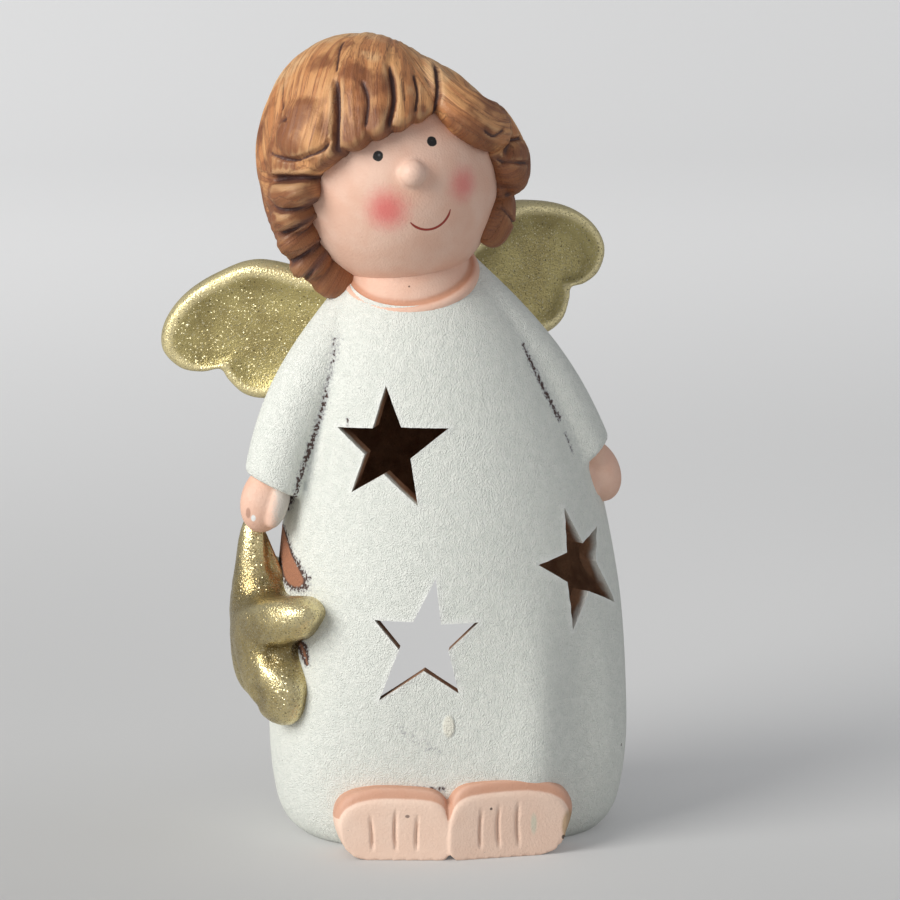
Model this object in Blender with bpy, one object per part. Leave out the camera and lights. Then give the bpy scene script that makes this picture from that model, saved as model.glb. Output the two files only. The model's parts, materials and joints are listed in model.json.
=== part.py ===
"""Angel candle holder, a slip-cast earthenware figure.

The whole figure is one hollow casting: robe, sleeves, hands, head, hair, wings, feet and
the star in its hand come out of one mould. A small candle goes in through the arch at the
back and shines out through the three stars cut in the front of the robe.
Metres, +Z up. The figure faces -Y, and the origin is the middle of its flat base.
"""
import math

import bmesh
import bpy
from mathutils import Matrix, Quaternion, Vector

# Robe
ROBE_HEIGHT = 0.143
ROBE_WIDTH = 0.0888
ROBE_DEPTH = 0.0690
ROBE_SEGMENTS = 52
WALL = 0.005
FLOOR = 0.0055

# Robe profile: share of the height, of the width, of the depth, and the lean as a share of the width
ROBE_PROFILE = (
    (0.000, 0.840, 0.840, 0.005),
    (0.018, 0.905, 0.905, 0.005),
    (0.055, 0.960, 0.960, 0.005),
    (0.150, 1.000, 1.000, 0.005),
    (0.280, 0.995, 1.000, 0.005),
    (0.400, 0.968, 0.985, 0.005),
    (0.500, 0.925, 0.950, 0.001),
    (0.600, 0.872, 0.905, -0.008),
    (0.700, 0.798, 0.845, -0.024),
    (0.785, 0.715, 0.775, -0.043),
    (0.855, 0.620, 0.700, -0.059),
    (0.915, 0.510, 0.600, -0.077),
    (0.960, 0.400, 0.480, -0.091),
    (1.000, 0.250, 0.320, -0.102),
)

# Folds that stand out from the hem: angle from the front, half width in degrees, share of the depth
FOLD_DEPTH = 0.0024
FOLD_PEAK = ROBE_HEIGHT * 0.154
FOLD_TOP = ROBE_HEIGHT * 0.525
HEM_FOLDS = (
    (-52, 16, 0.67),
    (-8, 20, -0.92),
    (25, 10, 1.0),
    (43, 9, -0.67),
    (63, 13, 0.67),
    (150, 16, 0.5),
    (-150, 16, 0.5),
)

# Arch at the back, which takes the candle
ARCH_WIDTH = 0.050
ARCH_SILL = 0.009
ARCH_HEIGHT = ROBE_HEIGHT * 0.4615

# Cut-out stars: share of the robe's height, angle from the front, and angle and reach of each
# hand-cut point, as a share of the mean reach
STAR_REACH = 0.0150
STAR_WAIST = 0.41
STAR_CUTS = {
    "upper": (0.696, -25, ((93, 1.00), (19, 1.02), (301, 1.05), (232, 0.93), (162, 0.91))),
    "lower": (0.369, -12, ((81, 1.07), (22, 0.92), (303, 0.98), (232, 1.21), (156, 0.90))),
    "side": (0.4825, 47, ((103, 1.00), (44, 0.80), (320, 1.16), (256, 1.05), (172, 0.86))),
}

# Sleeves: height of the cuff, angle from the front, how far the cuff stands off the robe as a share
# of the sleeve's radius, height of the shoulder; heights are shares of the robe's
SLEEVE_RADIUS = 0.0072
CUFF_RADIUS = 0.0078
SLEEVES = {
    "left": (0.613, -77, 0.69, 0.916),
    "right": (0.646, 81, -0.26, 0.965),
}
SHOULDER_SINK = 0.0075
SLEEVE_BOW = 0.0045
SLEEVE_SEGMENTS = 14

# Hands
HAND_RADIUS = 0.0060
HAND_SHIFT = {"left": 0.0013, "right": 0.0012}
THUMB_RADIUS = 0.0028

# Head, leaning to one side and turned a little
HEAD_RISE = 0.0209
HEAD_CENTRE = Vector((-0.0130, -0.0030, ROBE_HEIGHT + HEAD_RISE))
HEAD_LEAN = 15.0
HEAD_TURN = 5.0
SKULL = Vector((0.0252, 0.0265, 0.0250))
HEAD_WALL = 0.005
NECK_BORE = 0.0060
NECK_SEGMENTS = 24
NOSE_RADIUS = 0.0031

# Neckline ring
NECKLINE_RADIUS = 0.0152
NECKLINE_ROLL = 0.0016
NECKLINE_DROP = 0.0045
NECKLINE_SIDE_TILT = 8.5
NECKLINE_FRONT_TILT = 27.0

# Hair: the place that the locks fan out from, and the thickness over the skull by the angle
# across the head from its top, as a share of the greatest
CROWN_BACK = 36.0
CROWN_SIDE = 23.0
HAIR_THICKNESS = 0.0113
HAIR_FRONT = 0.45
HAIR_SHARES = (
    (-180, 0.70), (-132, 0.92), (-92, 0.71), (-64, 0.80), (-22, 1.00), (4, 0.80), (18, 0.55),
    (31, 0.32), (57, 0.26), (88, 0.30), (121, 0.26), (150, 0.38), (180, 0.70),
)
HAIR_RINGS = 8

# Grooves between the locks, as angles round the crown, and the hairline: the angle round the crown
# and how far down from it the hair ends
GROOVE_DEPTH = 0.0016
GROOVES = (-168, -147, -126, -105, -84, -64, -37, -24, -14, -3, 8, 26, 46, 68, 90, 112, 134, 156)
HAIRLINE = (
    (-180, 106), (-166, 122), (-144, 136), (-125, 139), (-108, 133), (-92, 126), (-76, 118), (-60, 112),
    (-46, 109), (-31, 106), (-17, 101), (-2, 94), (11, 84), (24, 87), (39, 88), (52, 92), (73, 102),
    (83, 106), (99, 116), (124, 104), (150, 100), (180, 106),
)

# Thick locks beside the face: points round and down from the crown, half width, half thickness and
# the height of the middle over the skull
LOCKS = {
    "fringe_curl": (((-50, 62), (-52, 80), (-56, 96), (-64, 107)), 0.0092, 0.0062, 0.0042),
    "left_curl_1": (((-96, 103), (-87, 111), (-76, 117), (-62, 119)), 0.0044, 0.0054, 0.0036),
    "left_curl_2": (((-112, 112), (-99, 121), (-86, 126), (-74, 127)), 0.0044, 0.0054, 0.0036),
    "left_curl_3": (((-126, 119), (-114, 127), (-103, 131), (-90, 133)), 0.0046, 0.0056, 0.0038),
    "left_curl_4": (((-138, 124), (-131, 131), (-122, 136), (-109, 140)), 0.0048, 0.0058, 0.0044),
    "left_curl_5": (((-148, 124), (-147, 131), (-145, 138), (-139, 145)), 0.0058, 0.0056, 0.0044),
    "right_sweep": (((4, 54), (12, 74), (24, 85), (40, 85), (58, 72)), 0.0068, 0.0050, 0.0022),
    "right_curl_1": (((56, 66), (66, 80), (70, 91), (69, 104)), 0.0068, 0.0052, 0.0028),
    "right_curl_2": (((86, 99), (84, 108), (88, 117), (97, 125)), 0.0050, 0.0048, 0.0022),
}
LOCK_SEGMENTS = 8

# Wings
WING_SWEEP = 25.0
WING_TURN = 8.0
WING_LEAN = 11.0
WING_THICKNESS = 0.0085
WING_DROP = 0.0112
WING_CENTRE = Vector((-0.0090, 0.0100, ROBE_HEIGHT - WING_DROP))
WING_REACH = 0.064
WING_OUTLINE = (
    (0.156, 0.063), (0.328, 0.141), (0.547, 0.227), (0.719, 0.203), (0.867, 0.141), (0.969, 0.047),
    (1.000, -0.055), (0.945, -0.141), (0.859, -0.172), (0.781, -0.172), (0.758, -0.219),
    (0.703, -0.289), (0.609, -0.320), (0.484, -0.305), (0.312, -0.250), (0.156, -0.156),
)

# Gold star that hangs from the left hand and follows the side of the robe
GOLD_STAR_RADIUS = 0.0280
GOLD_STAR_WAIST = 0.50
# Arms of the gold star: turn from upright towards the front, then reach and half width as shares
# of the radius
GOLD_STAR_ARMS = ((0, 1.00, 0.15), (73, 0.99, 0.23), (139, 1.02, 0.25), (218, 0.96, 0.22), (288, 0.96, 0.22))
GOLD_STAR_HEIGHT = ROBE_HEIGHT * 0.3706
GOLD_STAR_ANGLE = -86
GOLD_STAR_BEND = 0.045
GOLD_STAR_THICKNESS = 0.0108
GOLD_STAR_ROOT = 0.0040

# Feet: middle, width, splay, and the toe grooves across the foot as shares of its width
FEET = {
    "left": (-0.0163, 0.0290, -3, (-0.15, 0.05, 0.24)),
    "right": (0.0120, 0.0322, 3, (-0.26, -0.12, 0.04, 0.20)),
}
# Section of a foot from the floor over the top, as shares of half its width and of its height: the
# outer side is round, the inner side upright against the other foot
FOOT_OUTER_SIDE = (
    (-0.76, 0.00), (-0.90, 0.10), (-0.98, 0.27), (-1.00, 0.45), (-0.97, 0.62), (-0.88, 0.78), (-0.74, 0.89),
    (-0.52, 0.96),
)
FOOT_INNER_SIDE = (
    (-0.20, 1.00), (0.20, 1.00), (0.55, 0.98), (0.75, 0.94), (0.88, 0.85), (0.96, 0.69), (0.99, 0.48),
    (1.00, 0.25), (0.97, 0.09), (0.90, 0.00),
)
FOOT_REACH = 0.0064
FOOT_HEIGHT = 0.0175
FOOT_ROOT = 0.0080
TOE_GROOVE_WIDTH = 0.0009
TOE_GROOVE_DEPTH = 0.0012


def clear_scene():
    for item in list(bpy.data.objects):
        bpy.data.objects.remove(item, do_unlink=True)


def make_material(name, colour, roughness):
    material = bpy.data.materials.new(name)
    material.use_nodes = True
    shader = material.node_tree.nodes["Principled BSDF"]
    shader.inputs["Base Color"].default_value = (*colour, 1)
    shader.inputs["Roughness"].default_value = roughness
    return material


def finish(name, shape):
    """Turn a bmesh into a smooth-shaded object of flat triangles, which cut and join cleanly."""
    bmesh.ops.triangulate(shape, faces=shape.faces)
    bmesh.ops.recalc_face_normals(shape, faces=shape.faces)
    mesh = bpy.data.meshes.new(name)
    shape.to_mesh(mesh)
    shape.free()
    mesh.shade_smooth()
    mesh.set_sharp_from_angle(angle=math.radians(35))
    item = bpy.data.objects.new(name, mesh)
    bpy.context.scene.collection.objects.link(item)
    return item


def loft(name, rings):
    """Closed skin over rings of points; the first and the last ring are capped."""
    shape = bmesh.new()
    bmesh.ops.create_circle(shape, cap_ends=True, segments=len(rings[0]), radius=1)
    face = shape.faces[:][0]
    for vert, point in zip(face.verts, rings[0]):
        vert.co = point
    for ring in rings[1:]:
        grown = bmesh.ops.extrude_face_region(shape, geom=[face, *face.edges])
        face = next(item for item in grown["geom"] if isinstance(item, bmesh.types.BMFace))
        for vert, point in zip(face.verts, ring):
            vert.co = point
    return finish(name, shape)


def blob(name, matrix, radii, segments=14, rings=9):
    """Ellipsoid in the frame of a matrix."""
    shape = bmesh.new()
    bmesh.ops.create_uvsphere(
        shape, u_segments=segments, v_segments=rings, radius=1, matrix=matrix @ Matrix.Diagonal((*radii, 1))
    )
    return finish(name, shape)


def combine(target, piece, operation):
    """Union or difference with a helper piece, which is left out of the build."""
    modifier = target.modifiers.new(piece.name, "BOOLEAN")
    modifier.operation = operation
    modifier.solver = "EXACT"
    modifier.object = piece
    piece.hide_render = True
    piece.display_type = "WIRE"


def between(rows, value):
    """Smooth value of a table at a place between its rows."""
    last = len(rows) - 2
    index = next((i for i in range(last + 1) if value <= rows[i + 1][0]), last)
    before = rows[max(index - 1, 0)]
    low, high = rows[index], rows[index + 1]
    after = rows[min(index + 2, last + 1)]
    span = high[0] - low[0]
    t = min(max((value - low[0]) / span, 0), 1)
    results = []
    for column in range(1, len(low)):
        slope_low = (high[column] - before[column]) / max(high[0] - before[0], 1e-9) * span
        slope_high = (after[column] - low[column]) / max(after[0] - low[0], 1e-9) * span
        results.append(
            low[column] * (2 * t**3 - 3 * t**2 + 1) + slope_low * (t**3 - 2 * t**2 + t)
            + high[column] * (3 * t**2 - 2 * t**3) + slope_high * (t**3 - t**2)
        )
    return results


def robe_section(height):
    """Middle, half width and half depth of the robe at a height."""
    width, depth, lean = between(ROBE_PROFILE, height / ROBE_HEIGHT)
    return lean * ROBE_WIDTH, width * ROBE_WIDTH / 2, depth * ROBE_DEPTH / 2


def robe_point(height, angle, inset=0.0):
    """Point on the robe at a height and an angle from the front, in degrees towards +X."""
    lean, half_width, half_depth = robe_section(height)
    turn = math.radians(angle)
    return Vector((
        lean + (half_width - inset) * math.sin(turn),
        -(half_depth - inset) * math.cos(turn),
        height,
    ))


def robe_outward(height, angle):
    """Level direction that points straight out of the robe."""
    _, half_width, half_depth = robe_section(height)
    turn = math.radians(angle)
    return Vector((math.sin(turn) / half_width, -math.cos(turn) / half_depth, 0)).normalized()


def fold_height(height, angle):
    """How far the folds of the hem stand out at a height and an angle."""
    if height >= FOLD_TOP:
        return 0.0
    if height > FOLD_PEAK:
        fade = math.cos((height - FOLD_PEAK) / (FOLD_TOP - FOLD_PEAK) * math.pi / 2) ** 2
    else:
        fade = 0.35 + 0.65 * height / FOLD_PEAK
    total = 0.0
    for middle, spread, rise in HEM_FOLDS:
        apart = (angle - middle + 180) % 360 - 180
        total += rise * math.exp(-((apart / spread) ** 2))
    return total * fade * FOLD_DEPTH


def make_robe():
    rings = []
    for share in (0, 0.009, 0.027, 0.06, 0.11, 0.165, 0.225, 0.29, 0.36, 0.44, 0.53, 0.62, 0.71, 0.79, 0.86, 0.92, 0.965, 1):
        height = share * ROBE_HEIGHT
        ring = []
        for step in range(ROBE_SEGMENTS):
            angle = 360 * step / ROBE_SEGMENTS
            out = robe_outward(height, angle) * fold_height(height, angle)
            ring.append(robe_point(height, angle) + out)
        rings.append(ring)
    return loft("angel_figure", rings)


def tube_rings(points, radii, segments, squash=1.0):
    """Rings of an ellipse carried along a path."""
    rings = []
    for index, (point, radius) in enumerate(zip(points, radii)):
        ahead = points[min(index + 1, len(points) - 1)]
        behind = points[max(index - 1, 0)]
        along = (ahead - behind).normalized()
        side = along.cross(Vector((0, -1, 0))).normalized()
        front = side.cross(along).normalized()
        rings.append([
            point + side * math.cos(turn) * radius + front * math.sin(turn) * radius * squash
            for turn in (2 * math.pi * step / segments for step in range(segments))
        ])
    return rings


def sleeve_path(side):
    """Points from inside the shoulder to the cuff, bowed a little outwards."""
    cuff_share, angle, stand_off, shoulder_share = SLEEVES[side]
    height = cuff_share * ROBE_HEIGHT
    outward = robe_outward(height, angle)
    top = robe_point(shoulder_share * ROBE_HEIGHT, angle, SHOULDER_SINK)
    cuff = robe_point(height, angle) + outward * stand_off * SLEEVE_RADIUS
    steps = 6
    return [
        top.lerp(cuff, step / steps) + outward * SLEEVE_BOW * math.sin(math.pi * step / steps)
        for step in range(steps + 1)
    ]


def make_sleeve(side):
    path = sleeve_path(side)
    last = len(path) - 1
    radii = [SLEEVE_RADIUS + (CUFF_RADIUS - SLEEVE_RADIUS) * (step / last) ** 2 for step in range(last + 1)]
    along = (path[1] - path[0]).normalized()
    path = [path[0] - along * SLEEVE_RADIUS * 0.75, path[0] - along * SLEEVE_RADIUS * 0.4] + path
    radii = [SLEEVE_RADIUS * 0.55, SLEEVE_RADIUS * 0.88] + radii
    return loft(f"sleeve_{side}", tube_rings(path, radii, SLEEVE_SEGMENTS, 1.15))


def make_hand(side):
    """Mitten of a hand below the cuff, with its thumb."""
    path = sleeve_path(side)
    along = (path[-1] - path[-3]).normalized()
    outward = robe_outward(SLEEVES[side][0] * ROBE_HEIGHT, SLEEVES[side][1])
    centre = path[-1] + along * HAND_RADIUS * 0.55 + outward * HAND_SHIFT[side]
    turn = along.to_track_quat("-Z", "Y").to_matrix().to_4x4()
    palm_size = (HAND_RADIUS * 0.88, HAND_RADIUS, HAND_RADIUS * 1.4)
    palm = blob(f"hand_{side}", Matrix.Translation(centre) @ turn, palm_size, 12, 8)
    thumb_side = 1 if side == "left" else -1
    thumb_centre = centre + Vector((thumb_side * HAND_RADIUS * 0.75, -HAND_RADIUS * 0.45, -HAND_RADIUS * 0.1))
    thumb = blob(
        f"thumb_{side}", Matrix.Translation(thumb_centre) @ turn, (THUMB_RADIUS, THUMB_RADIUS, THUMB_RADIUS * 2.0), 8, 6
    )
    return palm, thumb


def head_matrix():
    """Frame of the leaning head."""
    lean = Matrix.Rotation(math.radians(-HEAD_LEAN), 4, "Y")
    turn = Matrix.Rotation(math.radians(HEAD_TURN), 4, "Z")
    return Matrix.Translation(HEAD_CENTRE) @ lean @ turn


def neckline_centre():
    lean, _, _ = robe_section(ROBE_HEIGHT)
    return Vector((lean, -ROBE_DEPTH * 0.075, ROBE_HEIGHT - NECKLINE_DROP))


def neckline_matrix():
    """Frame of the neckline, lower at the front and on the side that the head leans to."""
    side = Matrix.Rotation(math.radians(-NECKLINE_SIDE_TILT), 4, "Y")
    front = Matrix.Rotation(math.radians(NECKLINE_FRONT_TILT), 4, "X")
    return Matrix.Translation(neckline_centre()) @ side @ front


def make_neck():
    """Bare chest and neck, which narrow from the neckline up into the head."""
    frame = neckline_matrix()
    top = head_matrix() @ Vector((0, 0, -SKULL.z * 0.5))
    rings = []
    for share, radius in ((-0.3, 0.93), (0.0, 0.99), (0.3, 0.93), (0.65, 0.80), (1.0, 0.72)):
        centre = frame.translation.lerp(top, share)
        tilt = frame.to_quaternion().slerp(Quaternion(), max(share, 0))
        rings.append([
            centre + tilt @ Vector((math.cos(turn), math.sin(turn), 0)) * NECKLINE_RADIUS * radius
            for turn in (2 * math.pi * step / NECK_SEGMENTS for step in range(NECK_SEGMENTS))
        ])
    return loft("neck", rings)


def make_neckline():
    """Rolled edge of the neckline."""
    shape = bmesh.new()
    ring = bmesh.ops.create_circle(
        shape, segments=6, radius=NECKLINE_ROLL, cap_ends=False,
        matrix=Matrix.Translation((NECKLINE_RADIUS, 0, 0)) @ Matrix.Rotation(math.pi / 2, 4, "X"),
    )
    bmesh.ops.spin(
        shape, geom=ring["verts"] + shape.edges[:], cent=(0, 0, 0), axis=(0, 0, 1), angle=2 * math.pi,
        steps=28, use_merge=True,
    )
    bmesh.ops.remove_doubles(shape, verts=shape.verts, dist=1e-6)
    bmesh.ops.transform(shape, matrix=neckline_matrix(), verts=shape.verts)
    return finish("neckline", shape)


def crown_matrix():
    """Frame of the place that the locks fan out from, turned in the frame of the head."""
    side = Matrix.Rotation(math.radians(CROWN_SIDE), 3, "Y")
    back = Matrix.Rotation(math.radians(-CROWN_BACK), 3, "X")
    return side @ back


def skull_place(angle, drop, lift):
    """Point over the skull at an angle round the crown and down from it, in degrees."""
    turn, polar = math.radians(angle), math.radians(drop)
    direction = crown_matrix() @ Vector((
        math.sin(polar) * math.sin(turn), -math.sin(polar) * math.cos(turn), math.cos(polar)
    ))
    reach = 1 / math.sqrt(sum((direction[i] / SKULL[i]) ** 2 for i in range(3)))
    return direction, direction * (reach + lift)


def hair_thickness(angle, drop):
    """Thickness of the hair over the skull, which is greater on the side that the head leans to."""
    direction, _ = skull_place(angle, drop, 0)
    across = math.degrees(math.atan2(direction.x, direction.z))
    sideways = math.hypot(direction.x, direction.z)
    share = HAIR_FRONT + (between(HAIR_SHARES, across)[0] - HAIR_FRONT) * sideways
    return HAIR_THICKNESS * share


def lock_angles():
    """Angles across the locks with the height of each: 0 in a groove, 1 on the middle of a lock."""
    rows = []
    for index, groove in enumerate(GROOVES):
        span = (GROOVES[(index + 1) % len(GROOVES)] - groove) % 360
        rows += [(groove + span * share, rise) for share, rise in ((0, 0.0), (0.2, 0.75), (0.5, 1.0), (0.8, 0.75))]
    return [((angle + 180) % 360 - 180, rise) for angle, rise in rows]


def make_hair():
    """Cap of locks that fan out from the crown and end in a rounded edge."""
    head = head_matrix()
    rows = [(angle, rise, between(HAIRLINE, angle)[0] + 3 * rise) for angle, rise in lock_angles()]

    def place(angle, drop, lift):
        return head @ skull_place(angle, drop, lift)[1]

    rings = [[place(angle, 2.0, hair_thickness(angle, 2.0)) for angle, _, _ in rows]]
    for index in range(1, HAIR_RINGS + 1):
        share = index / HAIR_RINGS
        ring = []
        for angle, rise, edge in rows:
            groove = GROOVE_DEPTH * min(share * 1.4, 1) * (1 - rise)
            ring.append(place(angle, edge * share, hair_thickness(angle, edge * share) * (1 - 0.15 * share**4) - groove))
        rings.append(ring)
    for past_edge, lift in ((2.0, 0.55), (1.0, 0.05), (-6.0, -0.5)):
        rings.append([place(a, edge + past_edge, hair_thickness(a, edge) * lift) for a, _, edge in rows])
    rings.append([place(angle, edge * 0.45, -SKULL.x * 0.2) for angle, _, edge in rows])
    rings.append([place(angle, 3.0, -SKULL.x * 0.2) for angle, _, edge in rows])
    return loft("hair", rings)


def make_lock(name, points, half_width, half_thickness, lift):
    """Thick lock laid along the skull, narrow where it starts and rounded at its end."""
    head = head_matrix()
    path = smooth_curve(points, 2, False)
    last = len(path) - 1
    placed = [skull_place(point.x, point.y, lift) for point in path]
    rings = []
    for index, (direction, centre) in enumerate(placed):
        share = index / last
        size = min(0.45 + 1.1 * share, 1.0, 0.35 + 1.3 * (1 - share))
        along = (placed[min(index + 1, last)][1] - placed[max(index - 1, 0)][1]).normalized()
        side = along.cross(direction).normalized()
        up = side.cross(along).normalized()
        rings.append([
            head @ (centre + (side * half_width * math.cos(turn) + up * half_thickness * math.sin(turn)) * size)
            for turn in (2 * math.pi * step / LOCK_SEGMENTS for step in range(LOCK_SEGMENTS))
        ])
    return loft(name, rings)


def smooth_curve(points, steps, closed):
    """Smooth curve through a few points."""
    count = len(points)

    def point_at(index):
        return Vector(points[index % count]) if closed else Vector(points[min(max(index, 0), count - 1)])

    curve = []
    for index in range(count if closed else count - 1):
        p0, p1, p2, p3 = (point_at(index + offset) for offset in (-1, 0, 1, 2))
        for step in range(steps):
            t = step / steps
            curve.append(0.5 * (
                2 * p1 + (p2 - p0) * t + (2 * p0 - 5 * p1 + 4 * p2 - p3) * t**2 + (3 * p1 - p0 - 3 * p2 + p3) * t**3
            ))
    return curve if closed else curve + [Vector(points[-1])]


def make_wing(side):
    """Two-lobed wing with a thick rounded rim."""
    outline = [point * WING_REACH for point in smooth_curve(WING_OUTLINE, 2, True)]
    middle = Vector((sum(p.x for p in outline), sum(p.y for p in outline))) / len(outline)
    half = WING_THICKNESS / 2
    sign = -1 if side == "left" else 1
    lean = Matrix.Rotation(math.radians(-WING_LEAN), 4, "Y")
    turn = Matrix.Rotation(math.radians(WING_TURN), 4, "Z")
    frame = Matrix.Translation(WING_CENTRE) @ lean @ turn
    sweep = math.radians(WING_SWEEP)

    def ring(share, level):
        points = []
        for point in outline:
            flat = middle + (point - middle) * share
            across = flat.x * math.cos(sweep) + level * math.sin(sweep)
            back = flat.x * math.sin(sweep) - level * math.cos(sweep)
            points.append(frame @ Vector((sign * across, back, flat.y)))
        return points

    profile = ((0.66, -0.60), (0.84, -0.95), (0.95, -0.75), (1.0, 0.0), (0.95, 0.75), (0.84, 0.95), (0.66, 0.60))
    return loft(f"wing_{side}", [ring(share, level * half) for share, level in profile])


def make_gold_star():
    """Puffed star that is bent to follow the side of the robe."""
    seat = robe_point(GOLD_STAR_HEIGHT, GOLD_STAR_ANGLE)
    out = robe_outward(GOLD_STAR_HEIGHT, GOLD_STAR_ANGLE)
    across = Vector((0, 0, 1)).cross(out).normalized()
    corners = []
    for index, (turn, reach, half_width) in enumerate(GOLD_STAR_ARMS):
        ahead = (GOLD_STAR_ARMS[(index + 1) % len(GOLD_STAR_ARMS)][0] - turn) % 360
        arm, notch = math.radians(turn), math.radians(turn + ahead / 2)
        along, aside = Vector((math.sin(arm), math.cos(arm))), Vector((math.cos(arm), -math.sin(arm)))
        corners += [along * reach * 0.84 - aside * half_width, along * reach, along * reach * 0.84 + aside * half_width]
        corners.append(Vector((math.sin(notch), math.cos(notch))) * GOLD_STAR_WAIST)
    outline = smooth_curve(corners, 3, True)

    def ring(share, level):
        points = []
        for corner in outline:
            sideways, up = corner * GOLD_STAR_RADIUS * share
            bend = sideways / GOLD_STAR_BEND
            radius = GOLD_STAR_BEND + level
            points.append(
                seat - out * GOLD_STAR_BEND + (out * math.cos(bend) + across * math.sin(bend)) * radius
                + Vector((0, 0, up))
            )
        return points

    rings = [ring(0.86, -GOLD_STAR_ROOT), ring(0.97, 0.0)]
    for share, level in ((1.0, 0.22), (0.95, 0.52), (0.80, 0.78), (0.52, 0.95), (0.15, 1.0)):
        rings.append(ring(share, GOLD_STAR_THICKNESS * level))
    return loft("gold_star", rings)


def foot_frame(side):
    """Place of a foot on the floor, under the hem."""
    middle, _, splay, _ = FEET[side]
    front = robe_point(0, 0).y
    return Matrix.Translation((middle, front, 0)) @ Matrix.Rotation(math.radians(splay), 4, "Z")


def foot_profile(steps):
    """Reach and height along the middle of a foot, from its top down round the toes to the floor."""
    power = 2 / 2.6
    return [
        (math.sin(turn) ** power * FOOT_REACH, math.cos(turn) ** power * FOOT_HEIGHT)
        for turn in (math.pi / 2 * step / steps for step in range(steps))
    ]


def make_foot(side):
    _, width, _, _ = FEET[side]
    frame = foot_frame(side)
    rings = []
    inner_side = 1 if side == "left" else -1
    for reach, top in [(-FOOT_ROOT, FOOT_HEIGHT)] + foot_profile(7) + [(FOOT_REACH, FOOT_HEIGHT * 0.06)]:
        narrow = 1 - 0.16 * (max(reach, 0) / FOOT_REACH) ** 3
        rings.append([
            frame @ Vector((inner_side * across * width / 2 * (narrow if across < 0 else 1), -reach, rise * top))
            for across, rise in FOOT_OUTER_SIDE + FOOT_INNER_SIDE
        ])
    return loft(f"foot_{side}", rings)


def make_toe_groove(side, index, share):
    """Upright groove pressed into the front of the foot between two toes."""
    frame = foot_frame(side)
    across = share * FEET[side][1]
    back = 0.66
    inner = [
        (reach - TOE_GROOVE_DEPTH * reach / FOOT_REACH, top - TOE_GROOVE_DEPTH * top / FOOT_HEIGHT)
        for reach, top in foot_profile(10) if reach > back * FOOT_REACH
    ]
    outside = FOOT_REACH + 0.004
    above = inner[0][1] + TOE_GROOVE_DEPTH * 0.5
    outline = inner + [(inner[-1][0], -0.002), (outside, -0.002), (outside, above), (inner[0][0], above)]
    half = TOE_GROOVE_WIDTH / 2
    rings = [[frame @ Vector((across + shift, -reach, top)) for reach, top in outline] for shift in (-half, half)]
    return loft(f"toe_groove_{side}_{index}", rings)


def make_chamber():
    """Hollow of the robe, one wall inside it, with its passage up the neck."""
    heights = [FLOOR] + [
        ROBE_HEIGHT * share for share in (0.077, 0.154, 0.280, 0.406, 0.531, 0.643, 0.741, 0.825, 0.900)
    ]
    segments = 32
    rings = [
        [robe_point(height, 360 * step / segments, WALL) for step in range(segments)]
        for height in heights
    ]
    head = head_matrix().translation
    lean, _, _ = robe_section(ROBE_HEIGHT)
    throat = Vector((lean, 0, ROBE_HEIGHT * 0.955))
    for centre, radius in ((throat, NECK_BORE), (head, NECK_BORE)):
        rings.append([
            centre + Vector((math.sin(a), -math.cos(a), 0)) * radius
            for a in (2 * math.pi * step / segments for step in range(segments))
        ])
    return loft("chamber", rings)


def make_head_hollow():
    radii = [SKULL[i] - HEAD_WALL for i in range(3)]
    return blob("head_hollow", head_matrix(), radii, 14, 8)


def make_arch():
    """Cutter for the arch at the back."""
    half = ARCH_WIDTH / 2
    spring = ARCH_HEIGHT - half
    outline = [(-half, ARCH_SILL), (half, ARCH_SILL)]
    outline += [(half * math.cos(a), spring + half * math.sin(a)) for a in (math.pi * i / 20 for i in range(21))]
    rings = [[Vector((x, y, z)) for x, z in outline] for y in (0.008, ROBE_DEPTH)]
    return loft("arch_cutter", rings)


def make_star_cutter(name, share, angle, tips):
    """Straight cut through the wall in the outline of a hand-cut star."""
    height = share * ROBE_HEIGHT
    seat = robe_point(height, angle)
    out = robe_outward(height, angle)
    across = Vector((0, 0, 1)).cross(out).normalized()
    outline = []
    for index, (turn, reach) in enumerate(tips):
        next_turn, next_reach = tips[(index + 1) % len(tips)]
        outline.append((math.radians(turn), reach * STAR_REACH))
        halfway = turn - ((turn - next_turn) % 360) / 2
        outline.append((math.radians(halfway), STAR_WAIST * STAR_REACH * (reach + next_reach) / 2))
    rings = []
    for depth in (-STAR_REACH * 1.2, STAR_REACH * 0.8):
        rings.append([
            seat + out * depth + across * reach * math.cos(turn) + Vector((0, 0, reach * math.sin(turn)))
            for turn, reach in outline
        ])
    return loft(f"star_cutter_{name}", rings)


def main():
    clear_scene()
    figure = make_robe()
    figure.data.materials.append(make_material("painted_earthenware", (0.80, 0.82, 0.78), 0.85))
    skin = make_material("painted_skin", (0.86, 0.60, 0.47), 0.7)
    additions = []
    for side in ("left", "right"):
        additions.append(make_sleeve(side))
        additions.extend(make_hand(side))
        additions.append(make_wing(side))
        additions.append(make_foot(side))
    additions += [make_neck(), make_neckline()]
    head = head_matrix()
    additions.append(blob("head", head, SKULL, 26, 16))
    additions.append(make_hair())
    for name, (points, half_width, half_thickness, lift) in LOCKS.items():
        additions.append(make_lock(name, points, half_width, half_thickness, lift))
    nose = head @ Matrix.Translation((0.0, -SKULL.y - NOSE_RADIUS * 0.25, 0.0015))
    additions.append(blob("nose", nose, [NOSE_RADIUS] * 3, 10, 7))
    additions.append(make_gold_star())
    for piece in additions:
        piece.data.materials.append(skin)
        combine(figure, piece, "UNION")
    for side in FEET:
        for index, share in enumerate(FEET[side][3]):
            combine(figure, make_toe_groove(side, index, share), "DIFFERENCE")
    combine(figure, make_chamber(), "DIFFERENCE")
    combine(figure, make_head_hollow(), "DIFFERENCE")
    combine(figure, make_arch(), "DIFFERENCE")
    for name, (share, angle, tips) in STAR_CUTS.items():
        combine(figure, make_star_cutter(name, share, angle, tips), "DIFFERENCE")


main()
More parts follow.
